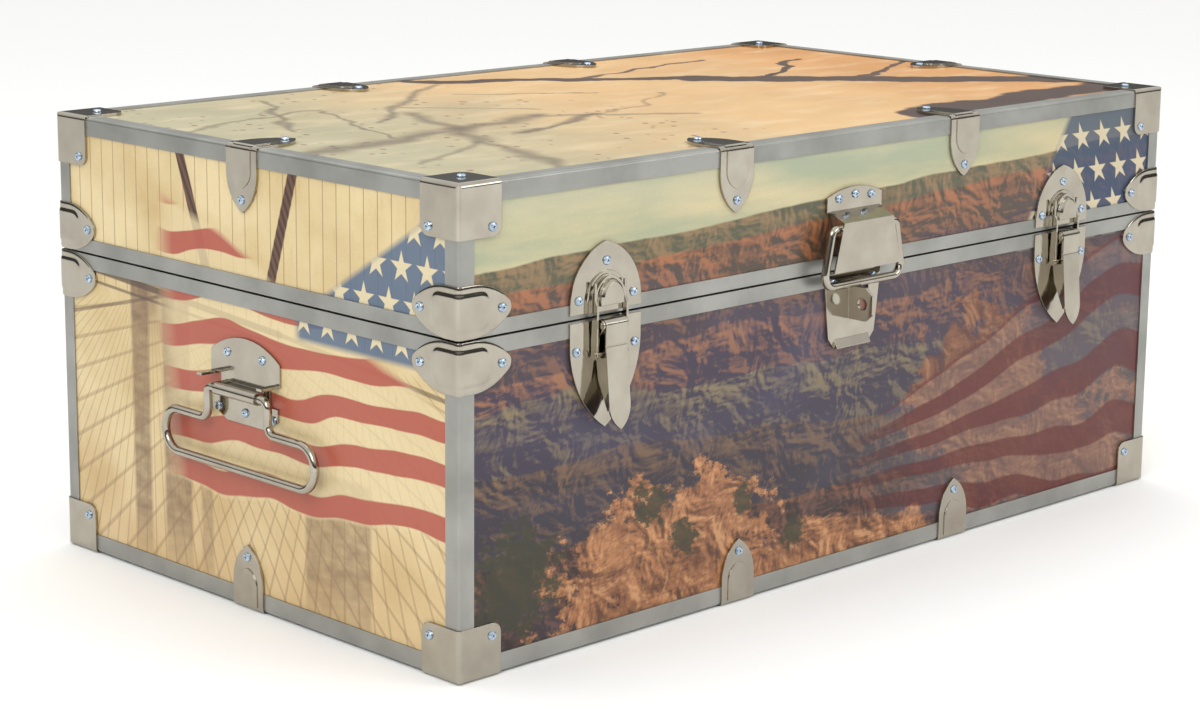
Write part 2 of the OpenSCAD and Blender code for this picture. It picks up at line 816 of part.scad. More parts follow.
// The base's lock plate: a window is lanced in it and its tab folded out for a padlock.
module lock_plate() {
    fold = -4;
    low = -60;
    window = [-38.5, -12.2];
    color(nickel) difference() {
        union() {
            at_hasp() translate([0, 0, -edge_t]) linear_extrude(edge_t + sheet_t) polygon([
                [-33, -1.2], [33, -1.2], [29.5, -33], [27, low + 8], [20, low],
                [-20, low], [-27, low + 8], [-29.5, -33]
            ]);
            at_hasp() run_across(-20, 20) polygon([
                [low, 0], [low - 0.4, sheet_t + 2.6], [low + 0.8, sheet_t + 3.2], [low + 7, sheet_t], [low + 7, 0]
            ]);
            at_hasp() run_across(fold, fold + 2.2) polygon([
                [window[0], 0], [window[0], tab_out - 7], [window[0] + 6, tab_out],
                [window[1] - 6, tab_out], [window[1], tab_out - 7], [window[1], 0]
            ]);
        }
        edging_room();
        at_hasp() translate([fold + 2.2, window[0], -edge_t - 1]) cube([21, window[1] - window[0], sheet_t + edge_t + 2]);
        at_hasp() run_across(fold - 1, fold + 4) translate([(window[0] + window[1]) / 2, 15])
            circle(r = eye_r);
        screw_holes(base_sites);
    }
}

// ---- Handles ----

module at_handle(s) {
    on_side(s < 0 ? 3 : 1) translate([0, handle_z, 0]) children();
}

module handle_outline() {
    intersection() {
        union() {
            translate([-leg_gap / 2 - 5, 10]) square([leg_gap + 10, plate_up]);
            translate([-29, -8]) square([58, 30]);
            translate([-38, -plate_down]) square([76, 18]);
        }
        translate([0, plate_up - 70]) circle(r = 70);
        translate([0, 60 - plate_down]) circle(r = 64);
    }
}

// The handle's plate with a sleeve for the rod and two tabs that stop the grip.
module handle_plate(s) color(nickel) difference() {
    union() {
        at_handle(s) translate([0, 0, -edge_t]) linear_extrude(plate_t) handle_outline();
        at_handle(s) translate([-sleeve_len / 2, 0, 0]) {
            translate([0, 0, rod_out]) rotate([0, 90, 0]) cylinder(r = sleeve_r, h = sleeve_len);
            translate([0, -sleeve_r, -edge_t]) cube([sleeve_len, 2 * sleeve_r, rod_out + edge_t]);
        }
        at_handle(s) for (x = [-leg_gap / 2 - 3, leg_gap / 2 - 3])
            translate([x, 9, -edge_t]) cube([6, 2, 17]);
    }
    at_handle(s) translate([-leg_gap, 0, rod_out]) rotate([0, 90, 0])
        cylinder(r = rod_r + run_clear, h = 2 * leg_gap);
    screw_holes(base_sites);
}

module handle_bail(s) {
    shoulder = -25;
    end_r = (grip_drop + shoulder) / 2;
    color(nickel) at_handle(s) translate([0, 0, rod_out]) closed_rod([
        [-leg_gap / 2, 0], [leg_gap / 2, 0], [leg_gap / 2, shoulder], [grip_w / 2, shoulder],
        [grip_w / 2, -grip_drop], [-grip_w / 2, -grip_drop], [-grip_w / 2, shoulder],
        [-leg_gap / 2, shoulder]
    ], [6, 6, 8, end_r - 0.2, end_r - 0.2, end_r - 0.2, end_r - 0.2, 8], rod_r);
}

module left_handle_plate() handle_plate(-1);
module right_handle_plate() handle_plate(1);
module left_handle_bail() handle_bail(-1);
module right_handle_bail() handle_bail(1);

// ---- Hinges ----

module at_hinge(s) {
    on_side(2) translate([s * hinge_x, hinge_z, 0]) children();
}

knuckle_w = (hinge_w - 2 * knuckle_gap) / 3;

// The notch in a leaf where the other leaf's knuckle turns.
module knuckle_room(x0, x1) {
    run_across(x0 - knuckle_gap, x1 + knuckle_gap) translate([0, hinge_out]) circle(r = knuckle_r + knuckle_gap);
}

module leaf_sheet(up) {
    first = up > 0 ? lid_bottom - hinge_z : hinge_z - base_top;
    mirror([0, up > 0 ? 0 : 1, 0]) translate([-hinge_w / 2, first, 0]) cube([hinge_w, leaf_h, leaf_t]);
    mirror([0, up > 0 ? 0 : 1, 0]) translate([-hinge_w / 2 + 6, 20, -edge_t]) cube([hinge_w - 12, leaf_h - 22, edge_t + leaf_t]);
}

module knuckle(x0, x1, up) {
    run_across(x0, x1) difference() {
        union() {
            translate([0, hinge_out]) circle(r = knuckle_r);
            mirror([up > 0 ? 0 : 1, 0]) translate([0.8, 0]) square([knuckle_r - 0.8, hinge_out]);
        }
        translate([0, hinge_out]) circle(r = hinge_pin_r + run_clear);
    }
}

module hinge_base_leaves() color(nickel) difference() {
    for (s = [-1, 1]) at_hinge(s) {
        difference() {
            leaf_sheet(-1);
            knuckle_room(-knuckle_w / 2, knuckle_w / 2);
        }
        knuckle(-hinge_w / 2, knuckle_w - hinge_w / 2, -1);
        knuckle(hinge_w / 2 - knuckle_w, hinge_w / 2, -1);
    }
    screw_holes(base_sites);
}

module hinge_lid_leaves() color(nickel) difference() {
    for (s = [-1, 1]) at_hinge(s) {
        difference() {
            leaf_sheet(1);
            knuckle_room(-hinge_w / 2, knuckle_w - hinge_w / 2);
            knuckle_room(hinge_w / 2 - knuckle_w, hinge_w / 2);
        }
        knuckle(-knuckle_w / 2, knuckle_w / 2, 1);
    }
    screw_holes(lid_sites);
}

module hinge_pins() color(zinc) for (s = [-1, 1]) at_hinge(s) {
    run_across(-hinge_w / 2, hinge_w / 2) translate([0, hinge_out]) circle(r = hinge_pin_r);
    for (x = [-hinge_w / 2 - 1, hinge_w / 2]) run_across(x, x + 1)
        translate([0, hinge_out]) circle(r = hinge_pin_r + 1.1);
}

// ---- Tray ----

module tray_ledges() color(ply) for (face = [1, 3])
    side(face) box_at(in_face - reach(face) + 2, reach(face) - in_face - 2, in_face,
        tongue_x + ledge_w, tray_z - ledge_h, tray_z);

module tray_box(x0, x1, y0, y1, z0, z1) {
    translate([-tray_w / 2, -tray_d / 2, tray_z]) box_at(x0, x1, y0, y1, z0, z1);
}

module tray_bottom() color(ply) tray_box(0, tray_w, 0, tray_d, 0, tray_floor);
module tray_front() color(ply) tray_box(0, tray_w, 0, tray_wall, tray_floor, tray_h);
module tray_back() color(ply) tray_box(0, tray_w, tray_d - tray_wall, tray_d, tray_floor, tray_h);

module hand_hole(x) {
    translate([x, 0, tray_z + tray_h - 16 - hand_h / 2]) rotate([0, 90, 0]) {
        for (s = [-1, 1]) translate([0, s * (hand_w - hand_h) / 2, -over])
            cylinder(r = hand_h / 2, h = tray_wall + 2 * over);
        translate([-hand_h / 2, (hand_h - hand_w) / 2, -over])
            cube([hand_h, hand_w - hand_h, tray_wall + 2 * over]);
    }
}

module tray_left() color(ply) difference() {
    tray_box(0, tray_wall, tray_wall, tray_d - tray_wall, tray_floor, tray_h);
    hand_hole(-tray_w / 2);
}

module tray_right() color(ply) difference() {
    tray_box(tray_w - tray_wall, tray_w, tray_wall, tray_d - tray_wall, tray_floor, tray_h);
    hand_hole(tray_w / 2 - tray_wall);
}

module tray_divider() color(ply)
    tray_box(tray_w * 0.62, tray_w * 0.62 + tray_wall, tray_wall, tray_d - tray_wall, tray_floor, tray_h - 6);

base_floor();
base_front();
base_back();
base_left();
base_right();
base_bottom_edging();
base_corner_edging();
base_rim();
base_corner_caps();
base_rim_clamps();
base_edge_clamps();
base_screws();
tray_ledges();
left_latch_base();
right_latch_base();
latch_pivot_pins();
lock_plate();
left_handle_plate();
right_handle_plate();
hinge_base_leaves();
hinge_pins();
lid_top();
lid_front();
lid_back();
lid_left();
lid_right();
lid_top_edging();
lid_corner_edging();
lid_rim();
lid_corner_caps();
lid_rim_clamps();
lid_edge_clamps();
lid_screws();
left_keeper();
right_keeper();
hasp_plate();
hinge_lid_leaves();
left_latch_lever();
left_latch_link_pin();
left_latch_link();
right_latch_lever();
right_latch_link_pin();
right_latch_link();
lock_loop();
left_handle_bail();
right_handle_bail();
tray_bottom();
tray_front();
tray_back();
tray_left();
tray_right();
tray_divider();
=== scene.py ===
import math

import bmesh
import bpy
from mathutils import Matrix, Vector


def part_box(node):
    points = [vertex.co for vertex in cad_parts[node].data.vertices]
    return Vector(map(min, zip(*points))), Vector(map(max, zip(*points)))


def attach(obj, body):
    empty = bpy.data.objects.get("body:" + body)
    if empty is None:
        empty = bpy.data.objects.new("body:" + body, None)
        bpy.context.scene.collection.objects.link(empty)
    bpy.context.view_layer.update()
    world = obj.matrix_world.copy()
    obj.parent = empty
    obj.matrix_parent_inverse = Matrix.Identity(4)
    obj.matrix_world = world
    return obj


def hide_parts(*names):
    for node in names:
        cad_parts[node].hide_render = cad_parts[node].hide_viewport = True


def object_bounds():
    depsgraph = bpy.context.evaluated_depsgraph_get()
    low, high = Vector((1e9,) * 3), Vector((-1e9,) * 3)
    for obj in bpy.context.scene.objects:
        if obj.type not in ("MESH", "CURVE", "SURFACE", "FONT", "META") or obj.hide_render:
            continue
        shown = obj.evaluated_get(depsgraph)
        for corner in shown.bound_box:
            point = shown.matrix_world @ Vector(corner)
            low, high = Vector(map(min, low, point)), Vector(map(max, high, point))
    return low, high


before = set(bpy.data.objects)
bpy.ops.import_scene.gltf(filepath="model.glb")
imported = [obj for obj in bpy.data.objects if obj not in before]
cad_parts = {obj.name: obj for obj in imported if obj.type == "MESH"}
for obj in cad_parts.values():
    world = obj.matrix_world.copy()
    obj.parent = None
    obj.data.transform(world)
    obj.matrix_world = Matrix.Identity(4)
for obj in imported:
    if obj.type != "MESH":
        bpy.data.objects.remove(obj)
cad_box = [list(corner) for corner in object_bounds()]

# ---- Studio ----
# A pale paper floor, a soft white surround and three large soft lamps, with the camera
# a little above the lid's height at the trunk's front left corner.

CAMERA_AT = Vector((-1.6269, -1.6110, 0.6446))
CAMERA_TO = Vector((19.631, 19.781, -5.834))
CAMERA_ROLL = 0.0111
FOCAL = 2791.7 / 1200
FRAME_SHIFT = (-0.0101, -0.0245)


def colour(text):
    """The linear RGBA of an sRGB hex colour."""
    parts = [int(text[i:i + 2], 16) / 255 for i in (0, 2, 4)]
    linear = [c / 12.92 if c <= 0.04045 else ((c + 0.055) / 1.055) ** 2.4 for c in parts]
    return (*linear, 1.0)


def add(tree, kind, links=None, **settings):
    """Adds a node with its properties, and fills its sockets, which are given by name or by
    their order, from values, nodes or other nodes' sockets."""
    node = tree.nodes.new("ShaderNode" + kind)
    for name, value in settings.items():
        setattr(node, name, value)
    for key, value in (links or {}).items():
        if isinstance(value, bpy.types.Node):
            value = next(s for s in value.outputs if s.enabled)
        if isinstance(value, bpy.types.NodeSocket):
            tree.links.new(value, node.inputs[key])
        else:
            node.inputs[key].default_value = value
    return node


def new_material(name, **shader):
    """A material whose shader has these socket values; returns it, its tree and the shader."""
    material = bpy.data.materials.new(name)
    material.use_nodes = True
    tree = material.node_tree
    principled = tree.nodes["Principled BSDF"]
    for key, value in shader.items():
        principled.inputs[key.replace("_", " ").title().replace("Ior", "IOR")].default_value = value
    return material, tree, principled


camera_data = bpy.data.cameras.new("studio_camera")
camera_data.lens = 36 * FOCAL
camera_data.sensor_width = 36
camera_data.shift_x, camera_data.shift_y = FRAME_SHIFT
camera_data.clip_end = 40
camera = bpy.data.objects.new("studio_camera", camera_data)
turn = (CAMERA_TO - CAMERA_AT).to_track_quat("-Z", "Y").to_matrix().to_4x4()
camera.matrix_world = Matrix.Translation(CAMERA_AT) @ turn @ Matrix.Rotation(CAMERA_ROLL, 4, "Z")
bpy.context.scene.collection.objects.link(camera)
bpy.context.scene.camera = camera
bpy.context.scene.view_settings.view_transform = "Standard"

world = bpy.data.worlds.new("studio_surround")
world.use_nodes = True
tree = world.node_tree
heading = add(tree, "SeparateXYZ", {0: add(tree, "TexCoord").outputs["Generated"]})
soft_sky = add(tree, "MapRange", {0: heading.outputs[2], 1: 0.08, 2: 0.5, 3: 0.08, 4: 1.08},
               interpolation_type="SMOOTHSTEP")
seen = add(tree, "LightPath").outputs["Is Camera Ray"]
tree.links.new(add(tree, "Mix", {0: seen, 2: soft_sky, 3: 1.0}).outputs[0],
               tree.nodes["Background"].inputs["Strength"])
tree.nodes["Background"].inputs["Color"].default_value = colour("fbfbfa")
bpy.context.scene.world = world

LAMPS = {
    "key_lamp": ((-2.4, -1.4, 1.9), 1.2, 1.6, 27),
    "fill_lamp": ((1.4, -2.8, 1.5), 1.6, 1.2, 19),
    "top_lamp": ((0.2, 0.6, 2.6), 1.8, 1.8, 12),
}
for name, (at, wide, high, watts) in LAMPS.items():
    lamp_data = bpy.data.lights.new(name, "AREA")
    lamp_data.shape = "RECTANGLE"
    lamp_data.size, lamp_data.size_y = wide, high
    lamp_data.energy = watts
    lamp = bpy.data.objects.new(name, lamp_data)
    lamp.matrix_world = Matrix.Translation(at) @ (
        Vector((0, 0, 0.15)) - Vector(at)).to_track_quat("-Z", "Y").to_matrix().to_4x4()
    bpy.context.scene.collection.objects.link(lamp)

floor_mesh = bpy.data.meshes.new("studio_floor")
shape = bmesh.new()
bmesh.ops.create_grid(shape, x_segments=1, y_segments=1, size=9)
bmesh.ops.translate(shape, verts=shape.verts, vec=(0, 0, cad_box[0][2] - 0.0002))
shape.to_mesh(floor_mesh)
shape.free()
floor = bpy.data.objects.new("studio_floor", floor_mesh)
bpy.context.scene.collection.objects.link(floor)
paper = new_material("studio_paper", base_color=colour("fcfcfb"), roughness=0.9)[0]
floor_mesh.materials.append(paper)

# ---- Printed boards ----
# Birch plywood faced with a printed sheet under a satin laminate, so colours are deep and
# lamps leave broad soft glints. The print covers the outside only, and the inside and the
# cut edges stay bare wood with a fine grain.

OUTER_FACE = {"X": 404.8, "Y": 234.8, "Z": 346.6}
PRINT_DEPTH = 0.5


def finish_nodes(material, *names):
    """Gives CAD nodes their material."""
    for name in names:
        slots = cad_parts[name].data.materials
        if not slots:
            slots.append(material)
        for i in range(len(slots)):
            slots[i] = material


def mm_position(tree):
    """The surface's place in the trunk's frame, in millimetres: the vector and its X, Y, Z."""
    place = add(tree, "TexCoord")
    vector = add(tree, "VectorMath", {0: place.outputs["Object"], "Scale": 1000.0},
                 operation="SCALE")
    axes = add(tree, "SeparateXYZ", {0: vector})
    return vector.outputs[0], axes.outputs[0], axes.outputs[1], axes.outputs[2]


def pair(tree, across, up, wide, high, seed=0.0):
    """A flat position scaled to a pattern's own width and height."""
    return add(tree, "CombineXYZ", {
        0: add(tree, "Math", {0: across, 1: 1 / wide}, operation="MULTIPLY"),
        1: add(tree, "Math", {0: up, 1: 1 / high}, operation="MULTIPLY"), 2: seed})


def wood_colour(tree, vector, along):
    """Birch: long soft streaks along one axis, with fine pores over them."""
    stretch = [1 / 7, 1 / 7, 1 / 7]
    stretch["XYZ".index(along)] = 1 / 140
    streaks = add(tree, "TexNoise", {
        "Vector": add(tree, "VectorMath", {0: vector, 1: stretch}, operation="MULTIPLY"),
        "Scale": 1.0, "Detail": 5.0, "Roughness": 0.6, "Distortion": 0.5})
    pores = add(tree, "TexNoise", {
        "Vector": add(tree, "VectorMath", {0: vector, 1: [6 * s for s in stretch]},
                      operation="MULTIPLY"),
        "Scale": 1.0, "Detail": 3.0})
    tone = add(tree, "MapRange", {0: streaks, 1: 0.35, 2: 0.65})
    pale = add(tree, "Mix", {0: tone, 6: colour("d9bb88"), 7: colour("c29c66")}, data_type="RGBA")
    dark = add(tree, "MapRange", {0: pores, 1: 0.6, 2: 0.8, 3: 0.0, 4: 0.35})
    return add(tree, "Mix", {0: dark, 6: pale, 7: colour("8d6a3e")}, data_type="RGBA"), pores


def stroke(tree, point, a, b, half_width, soft):
    """A mask along the line from a to b, with a soft edge."""
    run = Vector(b) - Vector(a)
    start = add(tree, "VectorMath", {0: point, 1: (*a, 0.0)}, operation="SUBTRACT")
    share = add(tree, "VectorMath", {0: start, 1: (*(run / run.length_squared), 0.0)},
                operation="DOT_PRODUCT")
    held = add(tree, "Clamp", {0: share.outputs["Value"]})
    foot = add(tree, "VectorMath", {0: (*run, 0.0), "Scale": held}, operation="SCALE")
    gap = add(tree, "VectorMath", {0: start, 1: foot}, operation="DISTANCE")
    return add(tree, "MapRange", {
        0: gap.outputs["Value"], 1: half_width - soft / 2, 2: half_width + soft / 2,
        3: 1.0, 4: 0.0}, interpolation_type="SMOOTHSTEP")


def stars(tree, across, up, pitch, size):
    """A mask of five pointed stars on a grid of alternating rows."""
    row = add(tree, "Math", {0: add(tree, "Math", {0: up, 1: 1 / pitch}, operation="MULTIPLY")},
              operation="FLOOR")
    shift = add(tree, "Math", {0: row, 1: 0.5}, operation="MULTIPLY")
    cells = [add(tree, "Math", {0: across, 1: 1 / pitch, 2: shift}, operation="MULTIPLY_ADD"),
             add(tree, "Math", {0: up, 1: 1 / pitch}, operation="MULTIPLY")]
    u, v = (add(tree, "Math", {0: add(tree, "Math", {0: c}, operation="FRACT"), 1: 0.5},
                operation="SUBTRACT") for c in cells)
    angle = add(tree, "Math", {0: u, 1: v}, operation="ARCTAN2")
    fifth = add(tree, "Math", {0: angle, 1: 0.0, 2: math.tau / 5}, operation="WRAP")
    middle = add(tree, "Math", {0: fifth, 1: math.pi / 5}, operation="SUBTRACT")
    side = add(tree, "Math", {0: middle}, operation="ABSOLUTE")
    lean = add(tree, "Math", {0: math.pi / 5, 1: side}, operation="SUBTRACT")
    turned = add(tree, "Math", {0: lean, 1: -math.tau / 5}, operation="ADD")
    reach = add(tree, "Math", {
        0: add(tree, "Math", {0: u, 1: u}, operation="MULTIPLY"),
        1: add(tree, "Math", {0: v, 1: v}, operation="MULTIPLY")}, operation="ADD")
    far = add(tree, "Math", {
        0: add(tree, "Math", {0: reach}, operation="SQRT"),
        1: add(tree, "Math", {0: turned}, operation="COSINE")}, operation="MULTIPLY")
    edge = 0.309 * size
    return add(tree, "MapRange", {0: far, 1: edge - 0.01, 2: edge + 0.01, 3: 1.0, 4: 0.0})


def cover(tree, below, mask, paint, alpha=1.0):
    """Lays a colour or a colour socket over another through a mask."""
    share = add(tree, "Math", {0: mask, 1: alpha}, operation="MULTIPLY", use_clamp=True)
    return add(tree, "Mix", {0: share, 6: below, 7: paint}, data_type="RGBA")


def canyon_art(tree, u, z):
    """A wide rocky valley under a pale sky, with a striped banner blowing over its right."""
    clouds = add(tree, "TexNoise", {
        "Vector": pair(tree, u, z, 190, 34, 3.1), "Scale": 1.0, "Detail": 5.0, "Roughness": 0.55})
    sky = add(tree, "Mix", {
        0: add(tree, "MapRange", {0: clouds, 1: 0.38, 2: 0.62}),
        6: colour("a9ad8e"), 7: colour("d3c49a")}, data_type="RGBA")
    sky = cover(tree, sky, add(tree, "MapRange", {0: z, 1: 305, 2: 349}), colour("9fae9c"), 0.75)
    art = cover(tree, sky, add(tree, "MapRange", {0: u, 1: 60, 2: 400}), colour("c9b27e"), 0.5)

    # Slopes facing the low sun are lit: the same relief is read twice, a step apart.
    slopes = [add(tree, "TexNoise", {
        "Vector": pair(tree, add(tree, "Math", {0: u, 1: step}, operation="ADD"),
                       add(tree, "Math", {0: z, 1: step * 0.7}, operation="ADD"), 42, 34, 7.7),
        "Scale": 1.0, "Detail": 9.0, "Roughness": 0.6, "Distortion": 0.5}) for step in (0.0, 2.6)]
    facing = add(tree, "Math", {0: slopes[0], 1: slopes[1]}, operation="SUBTRACT")
    strata = add(tree, "TexNoise", {
        "Vector": pair(tree, u, z, 90, 7, 1.3), "Scale": 1.0, "Detail": 5.0, "Distortion": 0.4})
    relief = add(tree, "Math", {
        0: facing, 1: 4.2, 2: add(tree, "Math", {0: strata, 1: 0.62, 2: 0.56},
                                  operation="MULTIPLY_ADD")}, operation="MULTIPLY_ADD")
    ridges = [
        (298, 0.034, 16, 150, 2.3, "8f7553", "545440", 0.66, 1.08),
        (284, 0.044, 14, 120, 5.9, "a56a46", "4f4136", 0.66, 1.08),
        (252, 0.034, 34, 130, 8.2, "8a6249", "41343f", 0.62, 1.06),
        (214, 0.024, 48, 110, 4.4, "99684a", "3a2f42", 0.64, 1.08),
        (172, -0.030, 54, 120, 9.6, "857559", "372e41", 0.62, 1.06),
        (122, -0.060, 50, 140, 6.1, "755942", "2f2834", 0.64, 1.08),
        (66, -0.030, 30, 160, 3.3, "7a4f38", "2d1d1c", 0.64, 1.06),
    ]
    for base, slope, rise, period, seed, lit, shade, low, high in ridges:
        crest = add(tree, "TexNoise", {
            "Vector": pair(tree, u, 0.0, period, 1, seed), "Scale": 1.0, "Detail": 5.0,
            "Roughness": 0.45})
        tall = add(tree, "Math", {0: crest, 1: rise, 2: base - rise / 2}, operation="MULTIPLY_ADD")
        line = add(tree, "Math", {0: u, 1: slope, 2: tall}, operation="MULTIPLY_ADD")
        depth = add(tree, "Math", {0: line, 1: z}, operation="SUBTRACT")
        mask = add(tree, "MapRange", {0: depth, 1: -0.6, 2: 0.8})
        shaded = add(tree, "MapRange", {0: relief, 1: low, 2: high})
        foot = add(tree, "MapRange", {0: depth, 1: 4.0, 2: 34.0, 3: 0.0, 4: 0.42})
        tone = add(tree, "Math", {0: shaded, 1: foot}, operation="ADD", use_clamp=True)
        rock = add(tree, "Mix", {0: tone, 6: colour(lit), 7: colour(shade)}, data_type="RGBA")
        art = add(tree, "Mix", {0: mask, 6: art, 7: rock}, data_type="RGBA")

    haze = add(tree, "TexNoise", {
        "Vector": pair(tree, u, z, 120, 60, 11.0), "Scale": 1.0, "Detail": 2.0})
    blue = add(tree, "MapRange", {0: haze, 1: 0.5, 2: 0.72})
    valley = add(tree, "MapRange", {0: z, 1: 272, 2: 240})
    art = cover(tree, art, add(tree, "Math", {0: blue, 1: valley}, operation="MULTIPLY"),
                colour("514e68"), 0.34)
    dusk = add(tree, "MapRange", {0: u, 1: 0, 2: 260})
    dusk = add(tree, "Math", {0: dusk, 1: valley}, operation="MULTIPLY")
    art = cover(tree, art, dusk, colour("3a262a"), 0.45)

    # The sunlit butte and the rocks and bushes of the near rim.
    rough = add(tree, "TexNoise", {
        "Vector": pair(tree, u, z, 34, 26, 14.2), "Scale": 1.0, "Detail": 8.0, "Roughness": 0.68})
    shaken = add(tree, "VectorMath", {0: rough.outputs["Color"], "Scale": 1.6}, operation="SCALE")
    cracks = add(tree, "TexVoronoi", {
        "Vector": add(tree, "VectorMath", {0: pair(tree, u, z, 17, 9, 2.0), 1: shaken},
                      operation="ADD"),
        "Scale": 1.0, "Randomness": 1.0}, feature="DISTANCE_TO_EDGE")
    stone = add(tree, "Mix", {
        0: add(tree, "MapRange", {0: rough, 1: 0.36, 2: 0.66}),
        6: colour("b47a4e"), 7: colour("6f4127")}, data_type="RGBA")
    stone = cover(tree, stone, add(tree, "MapRange", {
        0: cracks.outputs["Distance"], 1: 0.0, 2: 0.09, 3: 1.0, 4: 0.0}), colour("4a2a1c"), 0.3)
    stone = cover(tree, stone, add(tree, "MapRange", {0: facing, 1: 0.0, 2: 0.06}),
                  colour("3f241a"), 0.75)
    stone = cover(tree, stone, add(tree, "MapRange", {0: facing, 1: -0.01, 2: -0.07}),
                  colour("d9a473"), 0.6)
    for at_u, at_z, wide, high, rise in (
            (-200, 40, 150, 82, 60), (165, 120, 110, 90, 46), (300, 40, 190, 74, 60),
            (-20, 10, 160, 46, 34)):
        du = add(tree, "Math", {0: u, 1: 1 / wide, 2: -at_u / wide}, operation="MULTIPLY_ADD")
        dz = add(tree, "Math", {0: z, 1: 1 / high, 2: -at_z / high}, operation="MULTIPLY_ADD")
        ring = add(tree, "Math", {
            0: add(tree, "Math", {0: du, 1: 2.0}, operation="POWER"),
            1: add(tree, "Math", {0: dz, 1: 2.0}, operation="POWER")}, operation="ADD")
        edge = add(tree, "Math", {0: rough, 1: rise / 20, 2: ring}, operation="MULTIPLY_ADD")
        mask = add(tree, "MapRange", {0: edge, 1: rise / 40 + 0.62, 2: rise / 40 + 0.5})
        warm = stone if at_u < 0 else cover(tree, stone, 1.0, colour("5a2f26"), 0.55)
        art = add(tree, "Mix", {0: mask, 6: art, 7: warm}, data_type="RGBA")
    leaves = add(tree, "TexNoise", {
        "Vector": pair(tree, u, z, 14, 11, 21.0), "Scale": 1.0, "Detail": 7.0, "Roughness": 0.7})
    for at_u, at_z, radius in (
            (-352, 62, 46), (-215, 92, 20), (-182, 60, 17), (-118, 78, 13), (-60, 40, 15)):
        away = add(tree, "VectorMath", {0: pair(tree, u, z, 1, 1), 1: (at_u, at_z, 0)},
                   operation="DISTANCE")
        bush = add(tree, "Math", {0: leaves, 1: radius * 3.4, 2: away.outputs["Value"]},
                   operation="MULTIPLY_ADD")
        art = cover(tree, art, add(tree, "MapRange", {
            0: bush, 1: radius * 2.62, 2: radius * 2.35}), colour("33321d"), 0.9)

    # The banner fans out from a low corner to the right edge, over everything else.
    share = add(tree, "MapRange", {0: u, 1: -40, 2: 405})
    wave = add(tree, "TexNoise", {
        "Vector": pair(tree, u, z, 130, 150, 5.0), "Scale": 1.0, "Detail": 1.0})
    low = add(tree, "Math", {0: share, 1: -84.0, 2: 40.0}, operation="MULTIPLY_ADD")
    span = add(tree, "Math", {0: share, 1: 222.0, 2: 52.0}, operation="MULTIPLY_ADD")
    raised = add(tree, "Math", {0: z, 1: low}, operation="SUBTRACT")
    part = add(tree, "Math", {0: raised, 1: span}, operation="DIVIDE")
    swept = add(tree, "Math", {0: wave, 1: 0.34, 2: part}, operation="MULTIPLY_ADD")
    count = add(tree, "Math", {0: swept, 1: 4.5}, operation="MULTIPLY")
    phase = add(tree, "Math", {0: count}, operation="FRACT")
    gap = add(tree, "Math", {0: add(tree, "Math", {0: phase, 1: 0.5}, operation="SUBTRACT")},
              operation="ABSOLUTE")
    red = add(tree, "MapRange", {0: gap, 1: 0.23, 2: 0.27, 3: 1.0, 4: 0.0})
    inside = add(tree, "MapRange", {0: swept, 1: 0.2, 2: 0.23})
    top = add(tree, "MapRange", {0: swept, 1: 1.2, 2: 1.17})
    begun = add(tree, "MapRange", {0: u, 1: -10, 2: 90})
    between = add(tree, "Math", {0: inside, 1: top}, operation="MULTIPLY")
    banner = add(tree, "Math", {0: between, 1: begun}, operation="MULTIPLY")
    folds = add(tree, "MapRange", {0: wave, 1: 0.3, 2: 0.7, 3: 0.62, 4: 0.95})
    art = cover(tree, art, add(tree, "Math", {
        0: add(tree, "Math", {0: red, 1: banner}, operation="MULTIPLY"), 1: folds},
        operation="MULTIPLY"), colour("5a0f0d"), 1.0)
    pale = add(tree, "Math", {0: 1.0, 1: red}, operation="SUBTRACT")
    art = cover(tree, art, add(tree, "Math", {0: pale, 1: banner}, operation="MULTIPLY"),
                colour("8f8484"), 0.16)
    slant = add(tree, "Math", {0: z, 1: -0.62, 2: u}, operation="MULTIPLY_ADD")
    field = add(tree, "Math", {
        0: add(tree, "MapRange", {0: slant, 1: 66, 2: 74}),
        1: add(tree, "MapRange", {0: z, 1: 226, 2: 232})}, operation="MULTIPLY")
    art = cover(tree, art, field, colour("27405f"), 0.85)
    sheared = add(tree, "Math", {0: z, 1: 0.35, 2: u}, operation="MULTIPLY_ADD")
    spark = stars(tree, sheared, z, 30, 0.42)
    return cover(tree, art, add(tree, "Math", {0: field, 1: spark}, operation="MULTIPLY"),
                 colour("d5c6a4"), 0.92)


